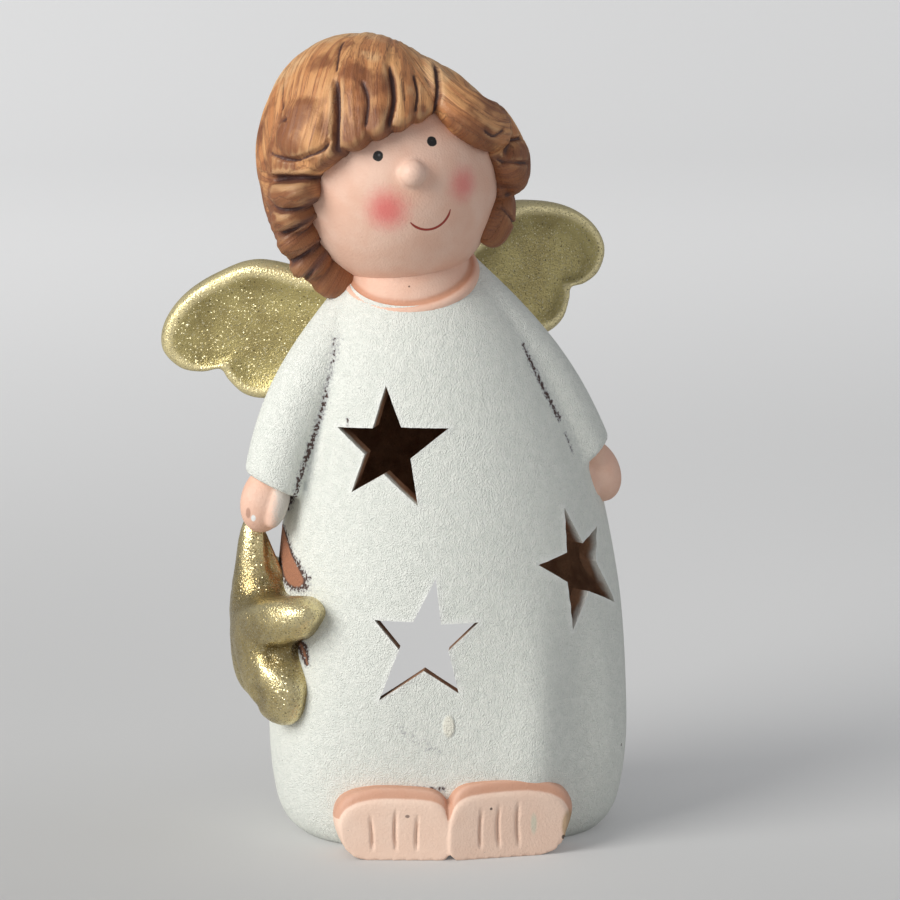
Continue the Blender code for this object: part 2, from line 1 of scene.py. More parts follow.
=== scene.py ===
import json
import math

import bmesh
import bpy
import numpy as np
from mathutils import Matrix, Vector

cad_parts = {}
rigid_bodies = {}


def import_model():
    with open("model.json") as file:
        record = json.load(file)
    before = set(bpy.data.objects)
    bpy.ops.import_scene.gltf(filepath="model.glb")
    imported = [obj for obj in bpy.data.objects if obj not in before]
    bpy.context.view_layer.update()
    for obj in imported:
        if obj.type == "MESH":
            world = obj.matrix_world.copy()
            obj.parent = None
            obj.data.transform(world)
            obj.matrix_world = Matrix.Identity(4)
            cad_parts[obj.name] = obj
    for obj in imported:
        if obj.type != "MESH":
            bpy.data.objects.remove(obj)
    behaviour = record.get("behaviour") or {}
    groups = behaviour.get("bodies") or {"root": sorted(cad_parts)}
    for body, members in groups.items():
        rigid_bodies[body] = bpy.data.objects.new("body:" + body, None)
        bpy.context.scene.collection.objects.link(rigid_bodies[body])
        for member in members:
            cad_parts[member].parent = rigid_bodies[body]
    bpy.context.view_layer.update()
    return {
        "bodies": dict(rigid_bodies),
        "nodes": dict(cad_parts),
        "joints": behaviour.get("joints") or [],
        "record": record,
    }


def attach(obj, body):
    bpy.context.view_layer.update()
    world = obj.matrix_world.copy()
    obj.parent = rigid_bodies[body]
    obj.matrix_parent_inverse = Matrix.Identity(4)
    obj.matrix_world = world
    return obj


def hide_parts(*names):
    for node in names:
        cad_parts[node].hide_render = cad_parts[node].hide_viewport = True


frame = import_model()


# Studio: a pale sweep of paper under and behind the figure, a large soft lamp in front of it to
# the left, a weaker one to the right and a grey room around them.
FLOOR_FRONT, FLOOR_BACK, SWEEP_RADIUS, SWEEP_TOP, SWEEP_HALF_WIDTH = -2.0, 1.6, 0.9, 3.0, 3.0


def add_node(tree, kind, inputs=None, **settings):
    """Add a shader node, set what it says, and link or set its inputs."""
    item = tree.nodes.new(kind)
    for key, value in settings.items():
        setattr(item, key, value)
    for key, value in (inputs or {}).items():
        if isinstance(value, bpy.types.NodeSocket):
            tree.links.new(value, item.inputs[key])
        else:
            item.inputs[key].default_value = value
    return item


def math_node(tree, operation, first, second=0.0, clamp=False):
    item = add_node(tree, "ShaderNodeMath", {0: first, 1: second}, operation=operation, use_clamp=clamp)
    return item.outputs[0]


def ramp(tree, value, low, high, to_low=0.0, to_high=1.0):
    """Smooth step of a value from one range to another."""
    item = add_node(
        tree, "ShaderNodeMapRange",
        {"Value": value, "From Min": low, "From Max": high, "To Min": to_low, "To Max": to_high},
        interpolation_type="SMOOTHSTEP",
    )
    return item.outputs["Result"]


def times(tree, first, second):
    return math_node(tree, "MULTIPLY", first, second)


def plus(tree, first, second):
    return math_node(tree, "ADD", first, second)


def minus(tree, first, second):
    return math_node(tree, "SUBTRACT", first, second)


def new_material(name):
    """Material with its Principled shader ready to be fed."""
    material = bpy.data.materials.new(name)
    material.use_nodes = True
    return material, material.node_tree, material.node_tree.nodes["Principled BSDF"]


def add_object(name, data):
    item = bpy.data.objects.new(name, data)
    bpy.context.scene.collection.objects.link(item)
    return item


def finished(name, shape):
    """Object from a worked bmesh, which goes."""
    mesh = bpy.data.meshes.new(name)
    shape.to_mesh(mesh)
    shape.free()
    return add_object(name, mesh)


shape = bmesh.new()
ends = [shape.verts.new((x, FLOOR_FRONT, 0)) for x in (-SWEEP_HALF_WIDTH, SWEEP_HALF_WIDTH)]
line = [shape.edges.new(ends)]
for step in ((0, FLOOR_BACK - FLOOR_FRONT, 0), None, (0, 0, SWEEP_TOP - SWEEP_RADIUS)):
    if step is None:
        bent = bmesh.ops.spin(
            shape, geom=line + [vert for edge in line for vert in edge.verts],
            cent=(0, FLOOR_BACK, SWEEP_RADIUS),
            axis=(1, 0, 0), angle=math.pi / 2, steps=24,
        )
        line = [item for item in bent["geom_last"] if isinstance(item, bmesh.types.BMEdge)]
    else:
        drawn = bmesh.ops.extrude_edge_only(shape, edges=line)["geom"]
        line = [item for item in drawn if isinstance(item, bmesh.types.BMEdge)]
        bmesh.ops.translate(shape, vec=step, verts=list({vert for edge in line for vert in edge.verts}))
bmesh.ops.recalc_face_normals(shape, faces=shape.faces)
sweep = finished("paper_sweep", shape)
sweep.data.shade_smooth()
paper, tree, shader = new_material("sweep_paper")
shader.inputs["Base Color"].default_value = (0.55, 0.55, 0.545, 1)
shader.inputs["Roughness"].default_value = 0.8
shader.inputs["Emission Color"].default_value = (1, 1, 1, 1)
paper_place = add_node(tree, "ShaderNodeTexCoord").outputs["Object"]
along = add_node(tree, "ShaderNodeSeparateXYZ", {"Vector": paper_place}).outputs
# the paper glows for the camera alone, more towards the back, to match the pale background
glow = plus(
    tree, ramp(tree, along["Y"], -0.16, 0.12, 0.03, 0.15), ramp(tree, along["Y"], -0.08, 1.3, 0.0, 0.31)
)
# painted light on the paper: the glow is a little stronger to the left, and near the front weaker on the left
# and stronger on the right
glow = times(tree, glow, ramp(tree, along["X"], -0.6, 0.6, 1.10, 0.90))
sideways = times(
    tree, ramp(tree, along["X"], -0.16, 0.16, -0.05, 0.06), ramp(tree, along["Y"], 0.1, 0.6, 1.0, 0.0)
)
seen = add_node(tree, "ShaderNodeLightPath").outputs["Is Camera Ray"]
glow = times(tree, plus(tree, glow, sideways), seen)
tree.links.new(glow, shader.inputs["Emission Strength"])
sweep.data.materials.append(paper)


def add_lamp(name, place, aim, size, power, colour):
    lamp = bpy.data.lights.new(name, "AREA")
    lamp.shape = "DISK"
    lamp.size = size
    lamp.energy = power
    lamp.color = colour
    item = add_object(name, lamp)
    item.location = place
    item.rotation_euler = (Vector(place) - Vector(aim)).to_track_quat("Z", "Y").to_euler()


add_lamp("key_lamp", (-1.32, -0.74, 0.87), (0, 0, 0.08), 1.15, 27.0, (1.0, 0.985, 0.95))
add_lamp("fill_lamp", (1.5, -0.3, 0.5), (0, 0, 0.1), 1.0, 2.0, (0.97, 0.985, 1.0))
add_lamp("front_lamp", (0.1, -1.6, 0.25), (0, 0, 0.15), 1.0, 1.2, (1.0, 0.99, 0.97))

room = bpy.data.worlds.new("grey_room")
room.use_nodes = True
room.node_tree.nodes["Background"].inputs["Color"].default_value = (0.93, 0.95, 1.0, 1)
room.node_tree.nodes["Background"].inputs["Strength"].default_value = 0.34
bpy.context.scene.world = room
bpy.context.scene.view_settings.view_transform = "Standard"

CAMERA_AZIMUTH, CAMERA_ELEVATION, CAMERA_DISTANCE = math.radians(-6), math.radians(10), 1.0
CAMERA_AIM = Vector((0.0010, -0.0001, 0.0942))
CAMERA_LENS, CAMERA_SENSOR = 162.16, 36
backward = Vector((
    math.sin(CAMERA_AZIMUTH) * math.cos(CAMERA_ELEVATION),
    -math.cos(CAMERA_AZIMUTH) * math.cos(CAMERA_ELEVATION),
    math.sin(CAMERA_ELEVATION),
))
camera = add_object("camera", bpy.data.cameras.new("camera"))
camera.data.lens = CAMERA_LENS
camera.data.sensor_width = CAMERA_SENSOR
camera.location = CAMERA_AIM + backward * CAMERA_DISTANCE
camera.rotation_euler = backward.to_track_quat("Z", "Y").to_euler()
bpy.context.scene.camera = camera


# Robe: a hollow earthenware bell with both sleeves, cast in one piece. The chamber, the arch at
# the back and three hand-cut stars open it. Sprayed with sandy white paint; the inside stays bare.
ROBE_HEIGHT, ROBE_WIDTH, ROBE_DEPTH = 0.143, 0.0888, 0.0690
WALL, FLOOR = 0.005, 0.0055
ROBE_PROFILE = (
    (0.000, 0.840, 0.840, 0.005), (0.018, 0.905, 0.905, 0.005), (0.055, 0.960, 0.960, 0.005),
    (0.150, 1.000, 1.000, 0.005), (0.280, 0.995, 1.000, 0.005), (0.400, 0.968, 0.985, 0.005),
    (0.500, 0.925, 0.950, 0.001), (0.600, 0.872, 0.905, -0.008), (0.700, 0.798, 0.845, -0.024),
    (0.785, 0.715, 0.775, -0.043), (0.855, 0.620, 0.700, -0.059), (0.915, 0.510, 0.600, -0.077),
    (0.960, 0.400, 0.480, -0.091), (1.000, 0.250, 0.320, -0.102),
)
FOLD_DEPTH, FOLD_PEAK, FOLD_TOP = 0.0024, ROBE_HEIGHT * 0.154, ROBE_HEIGHT * 0.525
HEM_FOLDS = (
    (-52, 16, 0.67), (-8, 20, -0.92), (25, 10, 1.0), (43, 9, -0.67), (63, 13, 0.67), (150, 16, 0.5),
    (-150, 16, 0.5),
)
ARCH_WIDTH, ARCH_SILL, ARCH_HEIGHT = 0.050, 0.009, ROBE_HEIGHT * 0.4615
STAR_REACH, STAR_WAIST = 0.0150, 0.41
STAR_CUTS = (
    (0.696, -25, ((93, 1.00), (19, 1.02), (301, 1.05), (232, 0.93), (162, 0.91))),
    (0.369, -12, ((81, 1.07), (22, 0.92), (303, 0.98), (232, 1.21), (156, 0.90))),
    (0.4825, 47, ((103, 1.00), (44, 0.80), (320, 1.16), (256, 1.05), (172, 0.86))),
)
SLEEVE_RADIUS, CUFF_RADIUS, SHOULDER_SINK = 0.0072, 0.0078, 0.0075
SLEEVE_BOW, SLEEVE_FULLNESS = 0.0034, 0.0011
SLEEVES = {"left": (0.613, -77, 0.69, 0.916), "right": (0.646, 81, -0.26, 0.965)}
CUFF_SLANT = {"left": 0.22, "right": -0.30}
NECKLINE_RADIUS, NECKLINE_ROLL, NECKLINE_DROP = 0.0152, 0.0016, 0.0045
NECKLINE_SIDE_TILT, NECKLINE_FRONT_TILT = 8.5, 27.0
ROBE_VOXEL = 0.00085
BURR_WIDTH, BURR_HEIGHT = 0.0009, 0.00028
# Strokes that the spray missed on the front: across and up along each, half width at its two
# ends, and how bare
MISSED = (
    (((-0.0283, 0.1241), (-0.0290, 0.1193), (-0.0302, 0.1144), (-0.0315, 0.1096)), (0.0016, 0.0009), 0.72),
    (((-0.0305, 0.1115), (-0.0315, 0.1079), (-0.0330, 0.1030), (-0.0344, 0.0989)), (0.0009, 0.0012), 0.90),
    (((-0.0344, 0.0989), (-0.0359, 0.0945), (-0.0374, 0.0901), (-0.0385, 0.0858)), (0.0012, 0.0010), 0.95),
    (((-0.0385, 0.0858), (-0.0400, 0.0814)), (0.0010, 0.0012), 1.10),
    (((-0.0431, 0.0795), (-0.0429, 0.0728), (-0.0423, 0.0650)), (0.0016, 0.0018), 1.04),
    (((-0.0413, 0.0775), (-0.0403, 0.0705), (-0.0386, 0.0655)), (0.0008, 0.0036), 1.60),
    (((-0.0374, 0.0500), (-0.0366, 0.0480), (-0.0360, 0.0455)), (0.0018, 0.0008), 1.22),
    (
        ((0.0174, 0.1225), (0.0187, 0.1191), (0.0206, 0.1151), (0.0231, 0.1097), (0.0260, 0.1043)),
        (0.0007, 0.0009), 0.98
    ),
    (((0.0275, 0.1007), (0.0295, 0.0957)), (0.0006, 0.0005), 0.75),
    (((-0.0147, 0.0168), (-0.0098, 0.0168), (-0.0038, 0.0166)), (0.0005, 0.0007), 1.08),
    (((-0.0135, 0.0307), (-0.0098, 0.0281), (-0.0050, 0.0255)), (0.0022, 0.0018), 0.42),
    (((-0.0295, 0.1362), (-0.0242, 0.1391)), (0.0024, 0.0018), 0.92),
    (((-0.0260, 0.1062), (-0.0256, 0.1034)), (0.0004, 0.0003), 1.10),
)
FADE_FROM, FADE_SPAN = 0.002, 0.012
DRIP_PLACE, DRIP_SIZE = (-0.0027, -0.0345, 0.0322), (0.0016, 0.0060, 0.0030)


def between(rows, value):
    """Smooth value of a table at a place between its rows."""
    last = len(rows) - 2
    index = next((i for i in range(last + 1) if value <= rows[i + 1][0]), last)
    before, low = rows[max(index - 1, 0)], rows[index]
    high, after = rows[index + 1], rows[min(index + 2, last + 1)]
    span = high[0] - low[0]
    t = min(max((value - low[0]) / span, 0), 1)
    results = []
    for column in range(1, len(low)):
        slope_low = (high[column] - before[column]) / max(high[0] - before[0], 1e-9) * span
        slope_high = (after[column] - low[column]) / max(after[0] - low[0], 1e-9) * span
        results.append(
            low[column] * (2 * t**3 - 3 * t**2 + 1) + slope_low * (t**3 - 2 * t**2 + t)
            + high[column] * (3 * t**2 - 2 * t**3) + slope_high * (t**3 - t**2)
        )
    return results


def robe_section(height):
    width, depth, lean = between(ROBE_PROFILE, height / ROBE_HEIGHT)
    return lean * ROBE_WIDTH, width * ROBE_WIDTH / 2, depth * ROBE_DEPTH / 2


def robe_point(height, angle, inset=0.0):
    """Point on the robe at a height and an angle from the front, in degrees towards +X."""
    lean, half_width, half_depth = robe_section(height)
    turn = math.radians(angle)
    return Vector(
        (lean + (half_width - inset) * math.sin(turn), -(half_depth - inset) * math.cos(turn), height)
    )


def robe_outward(height, angle):
    """Level direction that points straight out of the robe."""
    _, half_width, half_depth = robe_section(height)
    turn = math.radians(angle)
    return Vector((math.sin(turn) / half_width, -math.cos(turn) / half_depth, 0)).normalized()


def fold_rise(height, angle):
    """How far the folds of the hem stand out."""
    if height >= FOLD_TOP:
        return 0.0
    if height > FOLD_PEAK:
        fade = math.cos((height - FOLD_PEAK) / (FOLD_TOP - FOLD_PEAK) * math.pi / 2) ** 2
    else:
        fade = 0.35 + 0.65 * height / FOLD_PEAK
    return FOLD_DEPTH * fade * sum(
        rise * math.exp(-((((angle - middle + 180) % 360 - 180) / spread) ** 2))
        for middle, spread, rise in HEM_FOLDS
    )


def turns(count):
    """Angles of even steps round a circle."""
    return [2 * math.pi * step / count for step in range(count)]


def loft(name, rings):
    """Closed skin over rings of points; the first and the last ring are capped."""
    skin = bmesh.new()
    bmesh.ops.create_circle(skin, cap_ends=True, segments=len(rings[0]), radius=1)
    face = skin.faces[:][0]
    for vert, point in zip(face.verts, rings[0]):
        vert.co = point
    for ring in rings[1:]:
        grown = bmesh.ops.extrude_face_region(skin, geom=[face, *face.edges])
        face = next(item for item in grown["geom"] if isinstance(item, bmesh.types.BMFace))
        for vert, point in zip(face.verts, ring):
            vert.co = point
    bmesh.ops.recalc_face_normals(skin, faces=skin.faces)
    return finished(name, skin)


def joined(name, pieces):
    """One object from the meshes of several, which go."""
    whole = bmesh.new()
    for piece in pieces:
        whole.from_mesh(piece.data)
        bpy.data.objects.remove(piece, do_unlink=True)
    return finished(name, whole)


def settle(item):
    """Apply the modifiers of an object to its mesh."""
    graph = bpy.context.evaluated_depsgraph_get()
    mesh = bpy.data.meshes.new_from_object(item.evaluated_get(graph))
    item.modifiers.clear()
    item.data = mesh
    return item


def cast(item, voxel, rounds):
    """Merge overlapping forms into one clay skin, softened where they meet."""
    melt = item.modifiers.new("melt", "REMESH")
    melt.mode = "VOXEL"
    melt.voxel_size = voxel
    soften = item.modifiers.new("soften", "SMOOTH")
    soften.factor = 0.5
    soften.iterations = rounds
    settle(item)
    item.data.shade_smooth()
    return item


def points_of(mesh):
    places = np.empty(len(mesh.vertices) * 3)
    mesh.vertices.foreach_get("co", places)
    return places.reshape(-1, 3)


def normals_of(mesh):
    return np.array([tuple(item.vector) for item in mesh.vertex_normals])


def move_points(mesh, places):
    mesh.vertices.foreach_set("co", places.ravel())
    mesh.update()


def store(mesh, name, values, kind="FLOAT"):
    """Keep a value or a vector of each point for the material to read."""
    layer = mesh.attributes.new(name, kind, "POINT")
    layer.data.foreach_set(
        "value" if kind == "FLOAT" else "vector", np.asarray(values, dtype=np.float32).ravel()
    )


def relaxed(mesh, rounds):
    """Places of the points after each has moved to the mean of its neighbours a few times."""
    places = points_of(mesh)
    edges = np.empty(len(mesh.edges) * 2, dtype=np.int64)
    mesh.edges.foreach_get("vertices", edges)
    edges = edges.reshape(-1, 2)
    count = len(places)
    heads, tails = np.concatenate((edges[:, 0], edges[:, 1])), np.concatenate((edges[:, 1], edges[:, 0]))
    share = np.maximum(np.bincount(heads, minlength=count), 1)[:, None]
    for _ in range(rounds):
        places = np.stack([np.bincount(heads, places[tails, i], count) for i in range(3)], axis=1) / share
    return places


def mark_creases(item, rounds, depth):
    """Store how deep each point lies in a crease, 1 at the given depth, and below 0 on a ridge."""
    mesh = item.data
    sunk = ((relaxed(mesh, rounds) - points_of(mesh)) * normals_of(mesh)).sum(axis=1)
    store(mesh, "crease", np.clip(sunk / depth, -1, 1))


def robe_ring(height, segments, inset=0.0, folds=True):
    ring = []
    for step in range(segments):
        angle = 360 * step / segments
        point = robe_point(height, angle, inset)
        if folds:
            point += robe_outward(height, angle) * fold_rise(height, angle)
        ring.append(point)
    return ring


def sleeve_path(side, steps):
    """Points from inside the shoulder to the cuff, bowed a little outwards."""
    cuff_share, angle, stand_off, shoulder_share = SLEEVES[side]
    height = cuff_share * ROBE_HEIGHT
    outward = robe_outward(height, angle)
    top = robe_point(shoulder_share * ROBE_HEIGHT, angle, SHOULDER_SINK)
    cuff = robe_point(height, angle) + outward * stand_off * SLEEVE_RADIUS
    return [
        top.lerp(cuff, step / steps) + outward * SLEEVE_BOW * math.sin(math.pi * step / steps)
        for step in range(steps + 1)
    ]


def tube(name, points, radii, segments, squash=1.0, slant=0.0):
    """Skin around a path, an ellipse deeper from front to back than across, cut off at a slant."""
    rings = []
    for index, (point, radius) in enumerate(zip(points, radii)):
        along = (points[min(index + 1, len(points) - 1)] - points[max(index - 1, 0)]).normalized()
        side = along.cross(Vector((0, -1, 0))).normalized()
        front = side.cross(along).normalized()
        rings.append([
            point + side * math.cos(turn) * radius + front * math.sin(turn) * radius * squash
            for turn in turns(segments)
        ])
    for index in range(len(rings) - 3, len(rings)):
        reach = slant * (index - len(rings) + 4) / 3
        rings[index] = [point + along * (point - points[index]).x * reach for point in rings[index]]
    return loft(name, rings)


bell = loft("bell", [robe_ring(ROBE_HEIGHT * (step / 70) ** 1.15, 180) for step in range(71)])
sleeves = []
for side in SLEEVES:
    path = sleeve_path(side, 30)
    radii = [
        SLEEVE_RADIUS + (CUFF_RADIUS - SLEEVE_RADIUS) * (step / 30) ** 2
        + SLEEVE_FULLNESS * math.sin(math.pi * step / 30)
        for step in range(31)
    ]
    along = (path[1] - path[0]).normalized()
    path = [path[0] - along * SLEEVE_RADIUS * reach for reach in (0.8, 0.65, 0.35)] + path
    radii = [SLEEVE_RADIUS * share for share in (0.35, 0.65, 0.90)] + radii
    sleeves.append(tube(f"sleeve_{side}", path, radii, 40, 1.15, CUFF_SLANT[side]))
robe = cast(joined("robe", [bell, *sleeves]), ROBE_VOXEL, 5)

bare_clay = new_material("bare_clay")[0]
robe_paint = new_material("robe_paint")[0]
robe.data.materials.append(robe_paint)


def cut(item, cutter):
    """Take a cutter out of an object; the cut faces keep the cutter's bare clay."""
    cutter.data.materials.append(bare_clay)
    knife = item.modifiers.new(cutter.name, "BOOLEAN")
    knife.operation = "DIFFERENCE"
    knife.solver = "EXACT"
    knife.material_mode = "TRANSFER"
    knife.object = cutter
    settle(item)
    bpy.data.objects.remove(cutter, do_unlink=True)


def star_outline(height, angle, tips):
    """Seat, outward and across directions and the outline of a hand-cut star."""
    seat, out = robe_point(height, angle), robe_outward(height, angle)
    outline = []
    for index, (turn, reach) in enumerate(tips):
        next_turn, next_reach = tips[(index + 1) % len(tips)]
        halfway = turn - ((turn - next_turn) % 360) / 2
        waist = STAR_WAIST * (reach + next_reach) / 2
        for angle_on, reach_on in ((turn, reach), (halfway, waist)):
            turn_on = math.radians(angle_on)
            outline.append(
                (reach_on * STAR_REACH * math.cos(turn_on), reach_on * STAR_REACH * math.sin(turn_on))
            )
    return seat, out, Vector((0, 0, 1)).cross(out).normalized(), outline


def chamber(wall):
    """Inside of the robe, a given wall in from its skin."""
    shares = (0.077, 0.154, 0.280, 0.406, 0.531, 0.643, 0.741, 0.825, 0.900, 0.93)
    heights = [FLOOR] + [ROBE_HEIGHT * share for share in shares]
    return loft("chamber", [robe_ring(height, 48, wall, False) for height in heights])


cut(robe, chamber(WALL))
half = ARCH_WIDTH / 2
arch = [(-half, ARCH_SILL), (half, ARCH_SILL)] + [
    (half * math.cos(turn), ARCH_HEIGHT - half + half * math.sin(turn))
    for turn in (math.pi * i / 28 for i in range(29))
]
cut(robe, loft("arch", [[Vector((x, y, z)) for x, z in arch] for y in (0.008, ROBE_DEPTH)]))
stars = [star_outline(share * ROBE_HEIGHT, angle, tips) for share, angle, tips in STAR_CUTS]
for seat, out, across, outline in stars:
    cut(robe, loft("star_cutter", [
        [seat + out * depth + across * x + Vector((0, 0, z)) for x, z in outline]
        for depth in (-STAR_REACH * 1.2, STAR_REACH * 0.8)
    ]))

lean, _, _ = robe_section(ROBE_HEIGHT)
neckline_frame = (
    Matrix.Translation((lean, -ROBE_DEPTH * 0.075, ROBE_HEIGHT - NECKLINE_DROP))
    @ Matrix.Rotation(math.radians(-NECKLINE_SIDE_TILT), 4, "Y")
    @ Matrix.Rotation(math.radians(NECKLINE_FRONT_TILT), 4, "X")
)
cut(robe, loft("neckline_cutter", [
    [
        neckline_frame @ Vector((NECKLINE_RADIUS * math.cos(turn), NECKLINE_RADIUS * math.sin(turn), rise))
        for turn in turns(64)
    ]
    for rise in (-0.0003, 0.02)
]))


def from_line(flat, start, end):
    """Share of the way along a line, and distance from it, for each of many points."""
    start, span = np.array(start), np.array(end) - np.array(start)
    share = np.clip(((flat - start) @ span) / (span @ span), 0, 1)
    return share, np.linalg.norm(flat - start - share[:, None] * span, axis=1)


mesh = robe.data
places = points_of(mesh)
heights = np.clip(places[:, 2], 0, ROBE_HEIGHT)
sections = np.array([robe_section(height) for height in np.linspace(0, ROBE_HEIGHT, 300)])
lean, half_width, half_depth = (
    np.interp(heights, np.linspace(0, ROBE_HEIGHT, 300), sections[:, column]) for column in range(3)
)
share_out = np.hypot((places[:, 0] - lean) / half_width, places[:, 1] / half_depth)
under_skin = np.clip((1 - share_out) * (half_width + half_depth) / 2, 0, WALL) / WALL
edge_of_cut = np.zeros(len(places))
for seat, out, across, outline in stars:
    offset = places - np.array(seat)
    flat = np.stack((offset @ np.array(across), offset[:, 2]), axis=1)
    nearest = np.full(len(places), 1.0)
    for start, end in zip(outline, outline[1:] + outline[:1]):
        nearest = np.minimum(nearest, from_line(flat, start, end)[1])
    near = np.exp(-((nearest / BURR_WIDTH) ** 2)) * (offset @ np.array(out) > -0.006)
    edge_of_cut = np.maximum(edge_of_cut, near)
ripple = 0.6 + 0.4 * np.sin(places[:, 0] * 2100) * np.sin(places[:, 2] * 1700)
raised = edge_of_cut * ripple * BURR_HEIGHT * (under_skin < 0.3)
level_normals = np.stack(
    ((places[:, 0] - lean) / half_width, places[:, 1] / half_depth, np.zeros(len(places))), axis=1
)
level_normals /= np.maximum(np.linalg.norm(level_normals, axis=1), 1e-6)[:, None]
move_points(mesh, places + level_normals * raised[:, None])
missed = np.zeros(len(places))
for points, (half_first, half_last), bareness in MISSED:
    nearest, half_stroke = np.full(len(places), 1.0), np.full(len(places), half_first)
    for index, (start, end) in enumerate(zip(points, points[1:])):
        share, apart = from_line(places[:, [0, 2]], start, end)
        closer = apart < nearest
        nearest[closer] = apart[closer]
        stretch = half_last - half_first
        half_stroke[closer] = half_first + stretch * (index + share[closer]) / (len(points) - 1)
    missed = np.maximum(missed, bareness * np.exp(-((nearest / half_stroke) ** 2)))
missed *= np.clip((FADE_FROM + FADE_SPAN - places[:, 1]) / FADE_SPAN, 0, 1)
store(mesh, "missed", missed)
store(mesh, "under_skin", under_skin)
store(mesh, "edge_of_cut", edge_of_cut)
mark_creases(robe, 12, 0.0007)
mesh.shade_smooth()
mesh.set_sharp_from_angle(angle=math.radians(42))


def new_group(name, inputs, outputs):
    """Shader node group with named inputs and outputs."""
    group = bpy.data.node_groups.new(name, "ShaderNodeTree")
    for label, kind, start in inputs:
        socket = group.interface.new_socket(name=label, in_out="INPUT", socket_type=kind)
        if start is not None:
            socket.default_value = start
    for label, kind in outputs:
        group.interface.new_socket(name=label, in_out="OUTPUT", socket_type=kind)
    return group, group.nodes.new("NodeGroupInput").outputs, group.nodes.new("NodeGroupOutput").inputs


def mix_colours(tree, mask, first, second):
    return add_node(tree, "ShaderNodeMix", {0: mask, 6: first, 7: second}, data_type="RGBA").outputs[2]


def noise(tree, where, scale, detail):
    inputs = {"Vector": where, "Scale": scale, "Detail": detail}
    return add_node(tree, "ShaderNodeTexNoise", inputs).outputs["Fac"]


def vector_math(tree, operation, inputs, result="Vector"):
    return add_node(tree, "ShaderNodeVectorMath", inputs, operation=operation).outputs[result]


def place_group(tree, group, inputs):
    return add_node(tree, "ShaderNodeGroup", inputs, node_tree=group).outputs


def object_places(tree):
    return add_node(tree, "ShaderNodeTexCoord").outputs["Object"]


def blot(tree, where, place, half_sizes):
    """Soft-edged spot at a place on the figure."""
    spot = add_node(tree, "ShaderNodeMapping", {"Vector": where}, vector_type="TEXTURE")
    spot.inputs["Location"].default_value = place
    spot.inputs["Scale"].default_value = half_sizes
    reach = vector_math(tree, "LENGTH", {0: spot.outputs["Vector"]}, "Value")
    return ramp(tree, reach, 0.70, 1.15, 1.0, 0.0)


def read(tree, name, kind="Fac"):
    return add_node(tree, "ShaderNodeAttribute", attribute_name=name).outputs[kind]


def bump(tree, height, distance, strength=1.0, normal=None):
    inputs = {"Height": height, "Distance": distance, "Strength": strength}
    if normal is not None:
        inputs["Normal"] = normal
    return add_node(tree, "ShaderNodeBump", inputs).outputs["Normal"]


# sand in the paint: fine grains over softer lumps
sand_grain, given, result = new_group(
    "sand_grain", [("Vector", "NodeSocketVector", None), ("Grain", "NodeSocketFloat", 0.0005)],
    [("Height", "NodeSocketFloat"), ("Tone", "NodeSocketFloat")],
)
per_metre = math_node(sand_grain, "DIVIDE", 1.0, given["Grain"])
fine = noise(sand_grain, given["Vector"], per_metre, 2.0)
grains = add_node(
    sand_grain, "ShaderNodeTexVoronoi",
    {"Vector": given["Vector"], "Scale": times(sand_grain, per_metre, 1.3)}
)
lumps = noise(sand_grain, given["Vector"], times(sand_grain, per_metre, 0.22), 3.0)
rounded = ramp(sand_grain, grains.outputs["Distance"], 0.0, 0.75, 1.0, 0.0)
total = plus(sand_grain, times(sand_grain, rounded, 0.45), fine)
total = plus(sand_grain, total, lumps)
sand_grain.links.new(total, result["Height"])
sand_grain.links.new(lumps, result["Tone"])

# specks: scattered dots of uneven size
specks, given, result = new_group(
    "specks",
    [("Vector", "NodeSocketVector", None), ("Spacing", "NodeSocketFloat", 0.004),
     ("Share", "NodeSocketFloat", 0.3), ("Size", "NodeSocketFloat", 0.15)],
    [("Mask", "NodeSocketFloat")],
)
cells = add_node(
    specks, "ShaderNodeTexVoronoi",
    {"Vector": given["Vector"], "Scale": math_node(specks, "DIVIDE", 1.0, given["Spacing"])},
)
chance = add_node(specks, "ShaderNodeSeparateColor", {"Color": cells.outputs["Color"]}).outputs
dot_size = times(specks, given["Size"], plus(specks, chance["Green"], 0.3))
inside = math_node(specks, "LESS_THAN", cells.outputs["Distance"], dot_size)
kept = math_node(specks, "LESS_THAN", chance["Red"], given["Share"])
specks.links.new(times(specks, inside, kept), result["Mask"])

tree = robe_paint.node_tree
shader = tree.nodes["Principled BSDF"]
where = object_places(tree)
grain = place_group(tree, sand_grain, {"Vector": where, "Grain": 0.00042})
crease = read(tree, "crease")
fine = noise(tree, where, 2600.0, 2.0)
tone = ramp(tree, grain["Tone"], 0.35, 0.65)
colour = mix_colours(tree, tone, (0.800, 0.825, 0.765, 1), (0.850, 0.868, 0.808, 1))
colour = mix_colours(tree, ramp(tree, fine, 0.56, 0.70, 0.0, 0.35), colour, (0.52, 0.55, 0.52, 1))
shade = ramp(tree, crease, 0.15, 1.0, 0.0, 0.45)
colour = mix_colours(tree, shade, colour, (0.46, 0.50, 0.50, 1))
missed = read(tree, "missed")
broken = noise(tree, where, 1300.0, 3.0)
uneven = times(tree, minus(tree, broken, 0.5), 2.0)
thin = plus(tree, missed, uneven)
colour = mix_colours(tree, ramp(tree, thin, 0.30, 0.85, 0.0, 0.75), colour, (0.42, 0.42, 0.43, 1))
clay = mix_colours(tree, ramp(tree, missed, 1.05, 1.25), (0.085, 0.050, 0.042, 1), (0.42, 0.185, 0.105, 1))
colour = mix_colours(tree, ramp(tree, thin, 0.78, 0.92), colour, clay)
lip = times(tree, read(tree, "edge_of_cut"), 0.7)
colour = mix_colours(tree, lip, colour, (0.90, 0.91, 0.87, 1))
dots = place_group(tree, specks, {"Vector": where, "Spacing": 0.007, "Share": 0.05, "Size": 0.05})["Mask"]
colour = mix_colours(tree, dots, colour, (0.16, 0.13, 0.11, 1))
